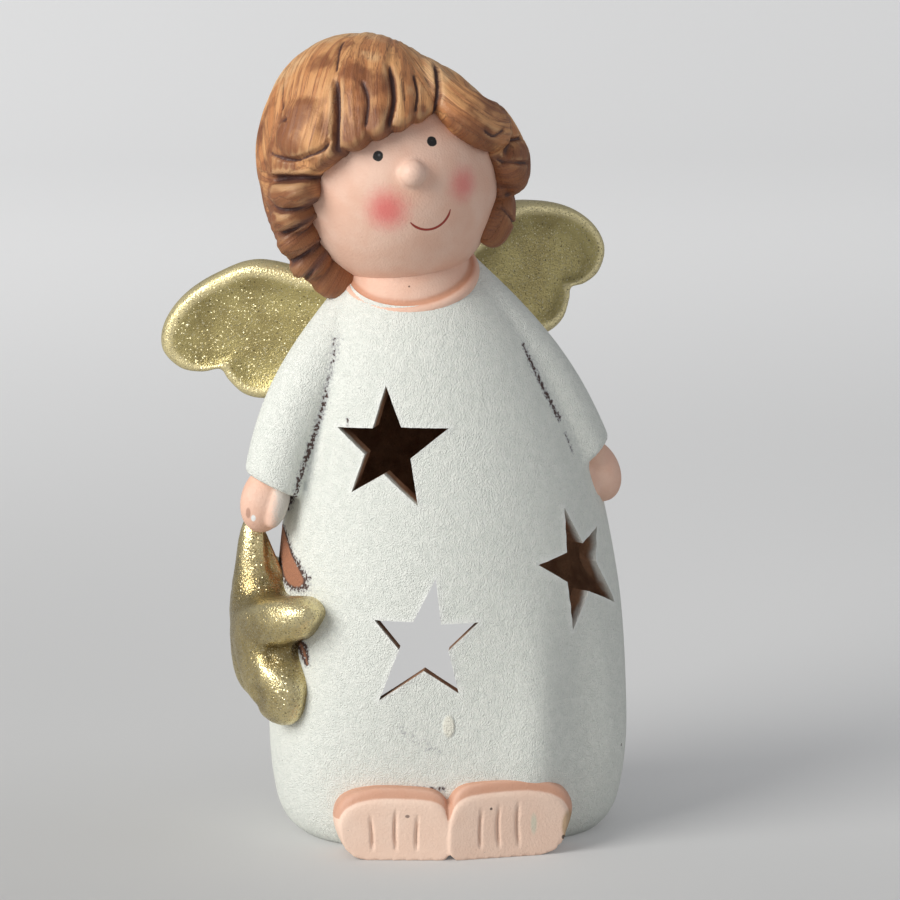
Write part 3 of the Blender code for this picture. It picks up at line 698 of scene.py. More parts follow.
drip = blot(tree, where, DRIP_PLACE, DRIP_SIZE)
colour = mix_colours(tree, times(tree, drip, 0.8), colour, (0.90, 0.87, 0.74, 1))
tree.links.new(colour, shader.inputs["Base Color"])
shader.inputs["Roughness"].default_value = 0.82
height = plus(tree, grain["Height"], times(tree, drip, 1.5))
tree.links.new(bump(tree, height, 0.00028, 1.0), shader.inputs["Normal"])

# bare clay of the chamber, with paint that drifted in over the edges of the cuts
tree = bare_clay.node_tree
shader = tree.nodes["Principled BSDF"]
where = object_places(tree)
grain = place_group(tree, sand_grain, {"Vector": where, "Grain": 0.0009})
inward = plus(tree, read(tree, "under_skin"), times(tree, grain["Tone"], 0.5))
drift = ramp(tree, inward, 0.30, 0.80, 1.0, 0.0)
clay = mix_colours(
    tree, ramp(tree, grain["Tone"], 0.3, 0.7), (0.235, 0.115, 0.060, 1), (0.380, 0.200, 0.110, 1)
)
tree.links.new(mix_colours(tree, drift, clay, (0.74, 0.74, 0.69, 1)), shader.inputs["Base Color"])
shader.inputs["Roughness"].default_value = 0.9
tree.links.new(bump(tree, grain["Height"], 0.0003, 0.8), shader.inputs["Normal"])

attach(robe, "root")
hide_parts("angel_figure")


# Head: a hollow ball with a button nose, cast on the neck. Painted skin with sprayed cheeks, and
# eyes and mouth drawn on with a fine brush.
HEAD_CENTRE = Vector((-0.0130, -0.0030, ROBE_HEIGHT + 0.0209))
HEAD_LEAN, HEAD_TURN = 15.0, 5.0
SKULL = Vector((0.0252, 0.0265, 0.0250))
CHIN_FULLNESS = 1.16
SKIN_VOXEL = 0.0005
NOSE_RADIUS = 0.0032
NOSE_PLACE = Vector((0.0001, -SKULL.y - NOSE_RADIUS * 0.25, 0.0015))
EYES = (Vector((-0.0064, -0.0244, 0.0074)), Vector((0.0070, -0.0243, 0.0072)))
EYE_RADIUS, GLINT_RADIUS, GLINT_SHIFT = 0.00125, 0.00038, Vector((0.0002, -0.0004, 0.0003))
CHEEKS = (
    (Vector((-0.0077, -0.0245, -0.0055)), 0.0062, 0.85), (Vector((0.0118, -0.0229, -0.0049)), 0.0050, 0.70)
)
MOUTH = (Vector((-0.0031, 0, -0.0099)), Vector((-0.0002, 0, -0.0126)), Vector((0.0071, 0, -0.0097)))
MOUTH_HALF_WIDTH = 0.00030

head_frame = (
    Matrix.Translation(HEAD_CENTRE) @ Matrix.Rotation(math.radians(-HEAD_LEAN), 4, "Y")
    @ Matrix.Rotation(math.radians(HEAD_TURN), 4, "Z")
)


def ball(name, matrix, radii, segments=48, rings=32):
    """Ellipsoid in the frame of a matrix."""
    skin = bmesh.new()
    bmesh.ops.create_uvsphere(
        skin, u_segments=segments, v_segments=rings, radius=1, matrix=matrix @ Matrix.Diagonal((*radii, 1))
    )
    return finished(name, skin)


nose = ball("nose", head_frame @ Matrix.Translation(NOSE_PLACE), [NOSE_RADIUS] * 3)
skull = ball("skull", Matrix(), SKULL, 96, 64)
for vert in skull.data.vertices:
    vert.co = head_frame @ Vector((vert.co.x, vert.co.y, vert.co.z * (CHIN_FULLNESS if vert.co.z < 0 else 1)))
head = cast(joined("head", [skull, nose]), SKIN_VOXEL, 4)
mark_creases(head, 10, 0.0004)

# skin: even tone, faint blotches and pores, a wash in the creases, which also carries painted shade where a
# piece stores it
skin_tone, given, result = new_group(
    "skin_tone", [("Vector", "NodeSocketVector", None), ("Crease", "NodeSocketFloat", 0.0)],
    [("Color", "NodeSocketColor"), ("Height", "NodeSocketFloat"), ("Roughness", "NodeSocketFloat")],
)
blotch = noise(skin_tone, given["Vector"], 130.0, 4.0)
colour = mix_colours(
    skin_tone, ramp(skin_tone, blotch, 0.35, 0.68), (0.825, 0.510, 0.380, 1), (0.860, 0.582, 0.455, 1)
)
wash_and_shade = ramp(skin_tone, given["Crease"], 0.18, 0.85, 0.0, 0.75)
colour = mix_colours(skin_tone, wash_and_shade, colour, (0.56, 0.24, 0.13, 1))
dots = place_group(
    skin_tone, specks, {"Vector": given["Vector"], "Spacing": 0.0055, "Share": 0.07, "Size": 0.055}
)["Mask"]
colour = mix_colours(skin_tone, dots, colour, (0.20, 0.10, 0.07, 1))
pores = place_group(skin_tone, sand_grain, {"Vector": given["Vector"], "Grain": 0.0007})
skin_tone.links.new(colour, result["Color"])
skin_tone.links.new(pores["Height"], result["Height"])
skin_tone.links.new(ramp(skin_tone, blotch, 0.3, 0.7, 0.50, 0.64), result["Roughness"])


def skin_material(name):
    """Painted skin, ready for more paint on top."""
    material, tree, shader = new_material(name)
    where = object_places(tree)
    crease = plus(tree, read(tree, "crease"), read(tree, "wash_and_shade"))
    skin = place_group(tree, skin_tone, {"Vector": where, "Crease": crease})
    tree.links.new(skin["Color"], shader.inputs["Base Color"])
    tree.links.new(skin["Roughness"], shader.inputs["Roughness"])
    tree.links.new(bump(tree, skin["Height"], 0.00009, 0.8), shader.inputs["Normal"])
    return material, tree, shader, where, skin


def distance_to(tree, where, place):
    offset = vector_math(tree, "SUBTRACT", {0: where, 1: place})
    return vector_math(tree, "LENGTH", {0: offset}, "Value")


face_paint, tree, shader, where, skin = skin_material("face_paint")
on_head = add_node(tree, "ShaderNodeMapping", {"Vector": where}, vector_type="TEXTURE")
on_head.inputs["Location"].default_value = HEAD_CENTRE
on_head.inputs["Rotation"].default_value = head_frame.to_euler()
on_head = on_head.outputs["Vector"]
colour = skin["Color"]
spray = noise(tree, where, 900.0, 4.0)
for place, reach, strength in CHEEKS:
    near = math_node(tree, "DIVIDE", distance_to(tree, on_head, place), reach)
    near = plus(tree, near, times(tree, minus(tree, spray, 0.5), 0.35))
    colour = mix_colours(tree, ramp(tree, near, 0.1, 1.25, strength, 0.0), colour, (0.78, 0.16, 0.15, 1))
nose_near = ramp(tree, distance_to(tree, on_head, NOSE_PLACE), 0.0034, 0.0048, 0.55, 0.0)
colour = mix_colours(tree, nose_near, colour, (0.885, 0.640, 0.520, 1))

a, b, c = MOUTH
lengths = [(b - c).length_squared, (c - a).length_squared, (a - b).length_squared]
weights = [lengths[i] * (lengths[(i + 1) % 3] + lengths[(i + 2) % 3] - lengths[i]) for i in range(3)]
mouth_centre = (a * weights[0] + b * weights[1] + c * weights[2]) / sum(weights)
mouth_radius = (a - mouth_centre).length
middle = ((a + c) / 2 - mouth_centre).normalized()
flat = vector_math(tree, "MULTIPLY", {0: on_head, 1: (1, 0, 1)})
ring = math_node(tree, "ABSOLUTE", minus(tree, distance_to(tree, flat, mouth_centre), mouth_radius))
reach = vector_math(tree, "DOT_PRODUCT", {0: flat, 1: middle}, "Value")
end = (a - Vector()).dot(middle)
stroke = ramp(tree, minus(tree, reach, end), -0.0002, 0.0016, 0.45, 1.0)
stroke = times(tree, stroke, MOUTH_HALF_WIDTH)
line = ramp(tree, math_node(tree, "DIVIDE", ring, stroke), 0.75, 1.2, 1.0, 0.0)
below = math_node(tree, "GREATER_THAN", reach, end)
depth = add_node(tree, "ShaderNodeSeparateXYZ", {"Vector": on_head}).outputs
front = math_node(tree, "LESS_THAN", depth["Y"], 0.0)
line = times(tree, times(tree, line, below), front)
colour = mix_colours(tree, line, colour, (0.33, 0.035, 0.022, 1))
for eye in EYES:
    wobble = times(tree, minus(tree, spray, 0.5), 0.0005)
    near = plus(tree, distance_to(tree, on_head, eye), wobble)
    disc = ramp(tree, near, EYE_RADIUS * 0.93, EYE_RADIUS * 1.07, 1.0, 0.0)
    colour = mix_colours(tree, disc, colour, (0.008, 0.007, 0.007, 1))
    glint = distance_to(tree, on_head, eye + GLINT_SHIFT)
    colour = mix_colours(
        tree, ramp(tree, glint, GLINT_RADIUS, GLINT_RADIUS * 1.6, 0.35, 0.0), colour, (0.40, 0.42, 0.44, 1)
    )
tree.links.new(colour, shader.inputs["Base Color"])
head.data.materials.append(face_paint)


# Neck and neckline: a short neck in the open collar of the robe, with the collar's rolled edge.
# Cast with the figure and painted as skin, all of it darkened as painted shade under the chin.
neck_top = head_frame @ Vector((0, 0, -SKULL.z * 0.5))
rings = []
for share, radius in (
    (-0.3, 0.93), (-0.1, 0.98), (0.0, 0.99), (0.15, 0.97), (0.3, 0.93), (0.5, 0.86), (0.7, 0.79), (1.0, 0.72)
):
    tilt = neckline_frame.to_quaternion().slerp(Matrix().to_quaternion(), max(share, 0))
    rings.append([
        neckline_frame.translation.lerp(neck_top, share)
        + tilt @ Vector((math.cos(turn), math.sin(turn), 0)) * NECKLINE_RADIUS * radius
        for turn in turns(72)
    ])
neck = loft("neck", rings)
shape = bmesh.new()
bmesh.ops.create_circle(
    shape, segments=20, radius=NECKLINE_ROLL,
    matrix=Matrix.Translation((NECKLINE_RADIUS, 0, 0)) @ Matrix.Rotation(math.pi / 2, 4, "X"),
)
bmesh.ops.spin(
    shape, geom=shape.verts[:] + shape.edges[:], cent=(0, 0, 0), axis=(0, 0, 1), angle=2 * math.pi, steps=90,
    use_merge=True,
)
bmesh.ops.remove_doubles(shape, verts=shape.verts, dist=1e-6)
bmesh.ops.recalc_face_normals(shape, faces=shape.faces)
bmesh.ops.transform(shape, matrix=neckline_frame, verts=shape.verts)
neck = cast(joined("neck", [neck, finished("collar_roll", shape)]), SKIN_VOXEL, 4)
mark_creases(neck, 10, 0.0005)
local = (points_of(neck.data) - np.array(neckline_frame.translation)) @ np.array(neckline_frame.to_3x3())
from_roll = np.hypot(np.hypot(local[:, 0], local[:, 1]) - NECKLINE_RADIUS, local[:, 2])
# the whole neck carries painted shade, as in the chin's shadow, with more wash along the collar roll
store(neck.data, "wash_and_shade", 0.33 + 0.32 * np.clip(2 - from_roll / NECKLINE_ROLL, 0, 1))
skin_paint, *_ = skin_material("skin_paint")
neck.data.materials.append(skin_paint)


# Hands: a plain mitten below each cuff, with its thumb. Painted as skin, with robe paint that
# drifted over the thumb side, greyed as painted shade, and a chip where the left one holds the star.
HAND_RADIUS, THUMB_RADIUS, HAND_VOXEL = 0.0060, 0.0027, 0.0004
HAND_SHIFT = {"left": 0.0013, "right": 0.0012}

hand_paint, tree, shader, where, skin = skin_material("hand_paint")
colour = skin["Color"]
across = add_node(tree, "ShaderNodeSeparateXYZ", {"Vector": where}).outputs["X"]
# robe paint drifted over the body side of the left hand, in a dull grey that also stands for painted shade
drift = plus(tree, across, times(tree, skin["Height"], 0.0012))
overspray_and_shade = ramp(tree, drift, -0.0432, -0.0405, 0.0, 0.80)
overspray_and_shade = times(tree, overspray_and_shade, math_node(tree, "LESS_THAN", across, 0.0))
colour = mix_colours(tree, overspray_and_shade, colour, (0.56, 0.57, 0.53, 1))
for place, half_sizes, stain in (
    ((-0.0496, -0.013, 0.0818), (0.0006, 0.02, 0.0014), (0.52, 0.30, 0.22, 1)),
    ((-0.0484, -0.013, 0.0806), (0.0006, 0.02, 0.0009), (0.88, 0.89, 0.88, 1)),
):
    colour = mix_colours(tree, blot(tree, where, place, half_sizes), colour, stain)
tree.links.new(colour, shader.inputs["Base Color"])

hands = []
for side in SLEEVES:
    path = sleeve_path(side, 6)
    along = (path[-1] - path[-3]).normalized()
    outward = robe_outward(SLEEVES[side][0] * ROBE_HEIGHT, SLEEVES[side][1])
    centre = path[-1] + along * HAND_RADIUS * 0.55 + outward * HAND_SHIFT[side]
    turn = along.to_track_quat("-Z", "Y").to_matrix().to_4x4()
    thumb_side = 1 if side == "left" else -1
    thumb = centre + Vector((thumb_side * HAND_RADIUS * 0.46, -HAND_RADIUS * 0.62, -HAND_RADIUS * 0.1))
    palm = ball(
        "palm", Matrix.Translation(centre) @ turn, (HAND_RADIUS * 0.88, HAND_RADIUS, HAND_RADIUS * 1.4)
    )
    thumb = ball("thumb", Matrix.Translation(thumb) @ turn, (THUMB_RADIUS, THUMB_RADIUS, THUMB_RADIUS * 2.3))
    hand = cast(joined(f"hand_{side}", [palm, thumb]), HAND_VOXEL, 3)
    mark_creases(hand, 10, 0.0004)
    hand.data.materials.append(hand_paint)
    hands.append(hand)


# Feet: a pair of bare feet that look out from under the hem, cast side by side with it, with the
# toes marked by pressed grooves. Painted as skin, with a brown wash where they meet the robe.
FEET = {
    "left": (-0.0163, 0.0290, 0.0174, -7, (-0.16, 0.04, 0.22)),
    "right": (0.0120, 0.0322, 0.0187, 8, (-0.26, -0.12, 0.03)),
}
FOOT_OUTER_SIDE = (
    (-0.50, 0.00), (-0.71, 0.06), (-0.85, 0.20), (-0.94, 0.38), (-0.985, 0.55), (-0.95, 0.70), (-0.84, 0.83),
    (-0.66, 0.92), (-0.45, 0.97),
)
FOOT_INNER_SIDE = (
    (-0.20, 1.00), (0.20, 1.00), (0.55, 0.98), (0.75, 0.94), (0.88, 0.85), (0.96, 0.69), (0.99, 0.48),
    (1.00, 0.25), (0.97, 0.09), (0.90, 0.00),
)
FOOT_REACH, FOOT_ROOT, FOOT_VOXEL, FOOT_INTO_WALL = 0.0066, 0.0080, 0.0004, 0.0008
# the foot from front to back: how far out of the robe and how high, with a step behind the toes
FOOT_PROFILE = (
    (0.00, 1.00), (0.40, 1.00), (0.66, 1.00), (0.74, 0.985), (0.80, 0.950), (0.85, 0.905), (0.885, 0.865),
    (0.915, 0.850), (0.950, 0.835), (0.980, 0.790), (0.997, 0.690), (1.00, 0.500),
)
TOE_EDGE, BROWN_ABOVE = 0.915, {"left": 0.0100, "right": 0.0030}
TOE_GROOVE_HALF_WIDTH, TOE_GROOVE_DEPTH = 0.00055, 0.0008


def smooth_path(points, steps):
    """Smooth curve through a few points."""
    count = len(points)
    path = []
    for index in range(count - 1):
        p0, p1, p2, p3 = (Vector(points[min(max(index + offset, 0), count - 1)]) for offset in (-1, 0, 1, 2))
        for step in range(steps):
            t = step / steps
            path.append(0.5 * (
                2 * p1 + (p2 - p0) * t + (2 * p0 - 5 * p1 + 4 * p2 - p3) * t**2
                + (3 * p1 - p0 - 3 * p2 + p3) * t**3
            ))
    return path + [Vector(points[-1])]


def foot_form(side):
    """Rounded foot, deepest at the toes and flat on the floor."""
    middle, width, height, splay, _ = FEET[side]
    frame = Matrix.Translation((middle, robe_point(0, 0).y, 0)) @ Matrix.Rotation(math.radians(splay), 4, "Z")
    profile = [(reach * FOOT_REACH, top * height) for reach, top in FOOT_PROFILE]
    section = smooth_path(FOOT_OUTER_SIDE + FOOT_INNER_SIDE, 3)
    inner_side = 1 if side == "left" else -1
    rings = []
    for reach, top in [(-FOOT_ROOT, height)] + profile:
        narrow = 1 - 0.16 * (max(reach, 0) / FOOT_REACH) ** 3
        rings.append([
            frame @ Vector((
                inner_side * point.x * width / 2 * (narrow if point.x < 0 else 1), -reach,
                max(point.y, 0) * top,
            ))
            for point in section
        ])
    return loft(f"foot_{side}", rings), frame


forms, foot_frames = zip(*(foot_form(side) for side in FEET))
feet = cast(joined("feet", forms), FOOT_VOXEL, 3)
feet.data.materials.append(None)
cut(feet, chamber(WALL - FOOT_INTO_WALL))
mesh = feet.data
places = points_of(mesh)
pressed, brown = np.zeros(len(places)), np.zeros(len(places))
for side, foot_frame in zip(FEET, foot_frames):
    local = (places - np.array(foot_frame.translation)) @ np.array(foot_frame.to_3x3())
    _, width, height, _, grooves = FEET[side]
    behind = np.clip((TOE_EDGE * FOOT_REACH + local[:, 1]) / 0.0003, 0, 1) * (local[:, 2] > BROWN_ABOVE[side])
    brown = np.maximum(brown, behind * (np.abs(local[:, 0]) < width * 0.52))
    for share in grooves:
        wander = 0.0002 * np.sin(local[:, 2] * 420 + share * 40)
        apart = np.abs(local[:, 0] - share * width - wander) / TOE_GROOVE_HALF_WIDTH
        length = np.clip(
            (height * (0.72 + 0.04 * math.sin(share * 50)) - local[:, 2]) / (height * 0.20), 0, 1
        )
        length *= np.clip((local[:, 2] - height * 0.12) / (height * 0.12), 0, 1)
        pressed = np.maximum(pressed, np.clip(1 - apart**2, 0, 1) ** 1.5 * length)
places -= normals_of(mesh) * (pressed * TOE_GROOVE_DEPTH)[:, None]
places[:, 2] = np.maximum(places[:, 2], 0)
move_points(mesh, places)
store(mesh, "wash_and_shade", 0.95 * brown - 0.10)
mark_creases(feet, 8, 0.0006)
foot_paint, tree, shader, where, skin = skin_material("foot_paint")
pale = times(tree, math_node(tree, "SUBTRACT", 1.0, read(tree, "wash_and_shade"), True), 0.62)
colour = mix_colours(tree, pale, skin["Color"], (0.93, 0.72, 0.58, 1))
for place, half_sizes, strength, stain in (
    ((0.0178, -0.040, 0.0080), (0.0011, 0.008, 0.0036), 0.75, (0.66, 0.66, 0.52, 1)),
    ((0.0266, -0.034, 0.0068), (0.0019, 0.008, 0.0042), 0.70, (0.40, 0.27, 0.12, 1)),
    ((0.0252, -0.034, 0.0042), (0.0005, 0.008, 0.0006), 0.90, (0.05, 0.03, 0.02, 1)),
    ((-0.0131, -0.040, 0.0110), (0.0007, 0.008, 0.0005), 0.80, (0.16, 0.11, 0.09, 1)),
    ((0.0072, -0.040, 0.0124), (0.0004, 0.008, 0.0004), 0.90, (0.06, 0.04, 0.03, 1)),
):
    mask = times(tree, blot(tree, where, place, half_sizes), strength)
    colour = mix_colours(tree, mask, colour, stain)
tree.links.new(colour, shader.inputs["Base Color"])
feet.data.materials[0] = foot_paint

for piece in (head, neck, *hands, feet):
    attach(piece, "root")
    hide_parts("angel_figure")


# Hair: a thick cap of locks that fan out from the back of the crown, with a fringe and curls
# beside the face. Modelled in the clay, grooved with a tool, painted tan and wiped with dark wash.
CROWN_BACK, CROWN_SIDE = 36.0, 23.0
HAIR_THICKNESS, HAIR_FRONT = 0.0113, 0.45
HAIR_SHARES = (
    (-180, 0.70), (-132, 0.92), (-92, 0.71), (-64, 0.80), (-22, 1.00), (4, 0.80), (18, 0.55), (31, 0.32),
    (57, 0.26), (88, 0.30), (121, 0.26), (150, 0.38), (180, 0.70),
)
GROOVES = (-168, -147, -126, -105, -84, -64, -37, -24, -14, -3, 8, 26, 46, 68, 90, 112, 134, 156)
CAP_WAVE, LOBE_DROP = 0.0006, 3.0
HAIRLINE = (
    (-180, 106), (-166, 122), (-144, 134), (-125, 134), (-108, 128), (-92, 121), (-76, 116), (-60, 112),
    (-46, 109), (-31, 106), (-17, 101), (-2, 94), (11, 84), (24, 87), (39, 88), (52, 92), (73, 102),
    (83, 106), (99, 116), (124, 104), (150, 100), (180, 106),
)
LOCKS = (
    (((-50, 62), (-52, 80), (-56, 96), (-64, 107)), 0.0092, 0.0062, 0.0042),
    (((-96, 103), (-87, 111), (-76, 117), (-62, 119)), 0.0044, 0.0054, 0.0036),
    (((-112, 112), (-101, 119), (-90, 123), (-80, 125)), 0.0044, 0.0054, 0.0036),
    (((-126, 119), (-116, 125), (-106, 128), (-96, 131)), 0.0046, 0.0056, 0.0038),
    (((-138, 124), (-132, 129), (-124, 133), (-114, 137)), 0.0048, 0.0058, 0.0044),
    (((-148, 124), (-147, 131), (-145, 138), (-139, 145)), 0.0058, 0.0056, 0.0044),
    (((4, 54), (12, 74), (24, 85), (40, 85), (58, 72)), 0.0068, 0.0050, 0.0022),
    (((56, 66), (66, 80), (70, 91), (69, 104)), 0.0068, 0.0052, 0.0028),
    (((86, 99), (84, 108), (88, 117), (97, 125)), 0.0050, 0.0048, 0.0022),
)
HAIR_VOXEL, HAIR_REACH = 0.00048, 0.031
ROW_STEPS, CAP_RINGS = 14, 36
# the edge of the cap, rolled under: degrees past the hairline and share of the thickness
ROLLED_EDGE = ((1.6, 0.72), (2.3, 0.45), (2.0, 0.15), (0, -0.2), (-6.0, -0.5))
# painted light from above on the hair: degrees down from the crown where it ends, and the span over which it
# fades in
TOP_LIGHT_EDGE, TOP_LIGHT_SPAN = 104, 66

# Tool marks: points round and down from the crown, half width, depth
TOOL_MARKS = (
    (((-38, 54), (-37, 66), (-36, 78)), 0.0005, 0.0006),
    (((-36, 80), (-36, 94), (-38, 104), (-41, 114)), 0.0011, 0.0022),
    (((-26, 82), (-23, 92), (-25, 104)), 0.0006, 0.0008),
    (((-15, 72), (-13, 84), (-13, 94), (-16, 106)), 0.0009, 0.0016),
    (((-9, 80), (-8, 92)), 0.0004, 0.0004),
    (((-4, 73), (-2, 84), (-3, 95)), 0.0006, 0.0008),
    (((9, 60), (8, 74), (8, 84), (7, 93)), 0.0008, 0.0014),
    (((-68, 46), (-67, 63), (-64, 81), (-62, 92)), 0.0004, 0.0005),
    (((-86, 54), (-87, 70), (-83, 90)), 0.0004, 0.0004),
    (((-77, 60), (-78, 75), (-76, 86)), 0.0004, 0.0003),
    (((-66, 92), (-61, 91), (-58, 93)), 0.0006, 0.0008),
    (((-77, 97), (-67, 105), (-57, 109), (-46, 109), (-40, 105)), 0.0006, 0.0010),
    (((-82, 107), (-70, 113), (-58, 118)), 0.0013, 0.0034),
    (((-90, 116), (-80, 124), (-70, 127), (-65, 125)), 0.0008, 0.0016),
    (((-106, 119), (-96, 127), (-82, 131), (-73, 130)), 0.0008, 0.0016),
    (((-124, 127), (-110, 136), (-95, 142)), 0.0009, 0.0018),
    (((-136, 128), (-126, 137), (-114, 143)), 0.0008, 0.0014),
    (((14, 66), (24, 75), (36, 80), (50, 77)), 0.0005, 0.0004),
    (((12, 80), (20, 87), (32, 90), (42, 86)), 0.0004, 0.0004),
    (((30, 95), (37, 95), (43, 89)), 0.0006, 0.0008),
    (((48, 84), (56, 86), (66, 80)), 0.0007, 0.0012),
    (((50, 96), (58, 97), (68, 92)), 0.0006, 0.0010),
    (((50, 107), (60, 108), (72, 103)), 0.0006, 0.0012),
    (((74, 113), (82, 114), (92, 110)), 0.0006, 0.0010),
) + tuple(
    (((groove, 30), (groove + 2, 60), (groove, 100)), 0.0008, 0.0010)
    for groove in (-168, -147, -126, -105, 68, 90, 112, 134, 156)
)

to_crown = (
    Matrix.Rotation(math.radians(CROWN_SIDE), 3, "Y") @ Matrix.Rotation(math.radians(-CROWN_BACK), 3, "X")
)


def crown_direction(angle, drop):
    """Direction in the frame of the head at an angle round the crown and down from it."""
    turn, polar = math.radians(angle), math.radians(drop)
    return to_crown @ Vector(
        (math.sin(polar) * math.sin(turn), -math.sin(polar) * math.cos(turn), math.cos(polar))
    )


def over_skull(angle, drop, lift):
    direction = crown_direction(angle, drop)
    reach = 1 / math.sqrt(sum((direction[i] / SKULL[i]) ** 2 for i in range(3)))
    return direction, direction * (reach + lift)


def hair_thickness(angle, drop):
    """Thickness of the hair over the skull, greater on the side that the head leans to."""
    direction = crown_direction(angle, drop)
    across = math.degrees(math.atan2(direction.x, direction.z))
    share = HAIR_FRONT + (between(HAIR_SHARES, across)[0] - HAIR_FRONT) * math.hypot(direction.x, direction.z)
    return HAIR_THICKNESS * share


# the cap: a rounded lock between each groove and the next
rows = []
for index, groove in enumerate(GROOVES):
    span = (GROOVES[(index + 1) % len(GROOVES)] - groove) % 360
    for share in (step / ROW_STEPS for step in range(ROW_STEPS)):
        rows.append(((groove + span * share + 180) % 360 - 180, math.sin(math.pi * share) ** 0.6))
rows = [(angle, rise, between(HAIRLINE, angle)[0] + LOBE_DROP * rise) for angle, rise in rows]
rings = [[head_frame @ over_skull(angle, 2, hair_thickness(angle, 2))[1] for angle, _, _ in rows]]
for step in range(1, CAP_RINGS + 1):
    share = step / CAP_RINGS
    ring = []
    for angle, rise, edge in rows:
        groove = CAP_WAVE * min(share * 1.4, 1) * (1 - rise)
        lift = hair_thickness(angle, edge * share) * (1 - 0.15 * share**4) - groove
        ring.append(head_frame @ over_skull(angle, edge * share, lift)[1])
    rings.append(ring)
for past_edge, lift in ROLLED_EDGE:
    rings.append(
        [
            head_frame @ over_skull(angle, edge + past_edge, hair_thickness(angle, edge) * lift)[1]
            for angle, _, edge in rows
        ]
    )
for share in (0.7, 0.4, 0.1):
    rings.append(
        [head_frame @ over_skull(angle, edge * share, -SKULL.x * 0.12)[1] for angle, _, edge in rows]
    )
forms = [loft("cap", rings)]

for points, half_width, half_thickness, lift in LOCKS:
    placed = [over_skull(point.x, point.y, lift) for point in smooth_path(points, 8)]
    last = len(placed) - 1
    rings = []
    for index, (direction, centre) in enumerate(placed):
        share = index / last
        size = min(0.45 + 1.1 * share, 1.0) * math.sqrt(max(1 - max((share - 0.72) / 0.28, 0) ** 2.2, 0.03))
        along = (placed[min(index + 1, last)][1] - placed[max(index - 1, 0)][1]).normalized()
        side = along.cross(direction).normalized()
        up = side.cross(along).normalized()
        rings.append([
            head_frame
            @ (centre + (side * half_width * math.cos(turn) + up * half_thickness * math.sin(turn)) * size)
            for turn in turns(32)
        ])
    forms.append(loft("lock", rings))
hair = cast(joined("hair", forms), HAIR_VOXEL, 4)

mesh = hair.data
places = points_of(mesh)
to_head = np.array(head_frame.to_3x3())
local = (places - np.array(HEAD_CENTRE)) @ to_head
reach = np.linalg.norm(local, axis=1)
toward = local / reach[:, None]


def along_stroke(points, steps=10):
    """Distance of each point of the hair from a stroke over it, its place along it and its side."""
    path = np.array([tuple(crown_direction(point.x, point.y)) for point in smooth_path(points, steps)])
    nearest = np.full(len(toward), 9.0)
    place, side = np.zeros(len(toward)), np.zeros(len(toward))
    total = len(path) - 1
    for index in range(total):
        span = path[index + 1] - path[index]
        share = np.clip(((toward - path[index]) @ span) / (span @ span), 0, 1)
        offset = toward - path[index] - share[:, None] * span
        apart = np.linalg.norm(offset, axis=1)
        closer = apart < nearest
        nearest[closer] = apart[closer]
        place[closer] = (index + share[closer]) / total
        side[closer] = (offset @ np.cross(path[index], span))[closer] / np.linalg.norm(span)
    return nearest * HAIR_REACH, place, side * HAIR_REACH


pressed, darkened = np.zeros(len(places)), np.zeros(len(places))
for points, half_width, depth in TOOL_MARKS:
    apart, place, _ = along_stroke(points)
    fade = np.clip(np.minimum(place, 1 - place) / 0.18 + 0.08, 0, 1)
    pressed = np.maximum(pressed, np.clip(1 - (apart / half_width) ** 2, 0, 1) ** 1.3 * depth * fade)
    darkened = np.maximum(
        darkened, np.exp(-((apart / (half_width * 1.05)) ** 2)) * fade * min((depth / 0.0015) ** 1.2, 1)
    )
crown_local = local @ np.array(to_crown)
azimuth = np.arctan2(crown_local[:, 0], -crown_local[:, 1])
drop = np.arccos(np.clip(crown_local[:, 2] / reach, -1, 1))
strand = np.stack((25 * np.sin(azimuth), 25 * np.cos(azimuth), np.degrees(drop) * 0.055), axis=1)
for index, (points, half_width, _, _) in enumerate(LOCKS):
    apart, place, side = along_stroke(points)
    on_lock = apart < half_width * 0.95
    length = len(points) * 4.0
    strand[on_lock] = np.stack(
        (side * 1000 + 60 + 30 * index, 10.0 * index + 0 * side, place * length * 0.10), axis=1
    )[on_lock]
combed = 0.00008 * np.sin(strand[:, 0] * 3.1 + 1.7 * np.sin(strand[:, 1] * 2.3) + strand[:, 2])
move_points(mesh, places - (toward @ to_head.T) * (pressed + combed)[:, None])
store(mesh, "strand", strand, "FLOAT_VECTOR")
store(mesh, "groove", darkened)
# painted light and shade: the hair is drawn lighter towards the crown and darker on the low curls, as if lit
# from above
store(
    mesh, "light_from_above",
    np.clip((TOP_LIGHT_EDGE - np.degrees(drop)) / TOP_LIGHT_SPAN, 0, 1)
    - 0.85 * np.clip((-0.001 - local[:, 2]) / 0.007, 0, 1)
)
mark_creases(hair, 10, 0.0006)
sunk = ((relaxed(mesh, 45) - points_of(mesh)) * normals_of(mesh)).sum(axis=1)
store(mesh, "hollow", np.clip(sunk / 0.0014, -1, 1))

hair_paint, tree, shader = new_material("hair_paint")
where = object_places(tree)
strands = read(tree, "strand", "Vector")
streak = add_node(
    tree, "ShaderNodeTexNoise", {"Vector": strands, "Scale": 0.55, "Detail": 4.0, "Roughness": 0.55}
).outputs["Fac"]
hairs = noise(tree, strands, 2.6, 3.0)
blotch = noise(tree, where, 95.0, 5.0)
light_from_above = read(tree, "light_from_above")
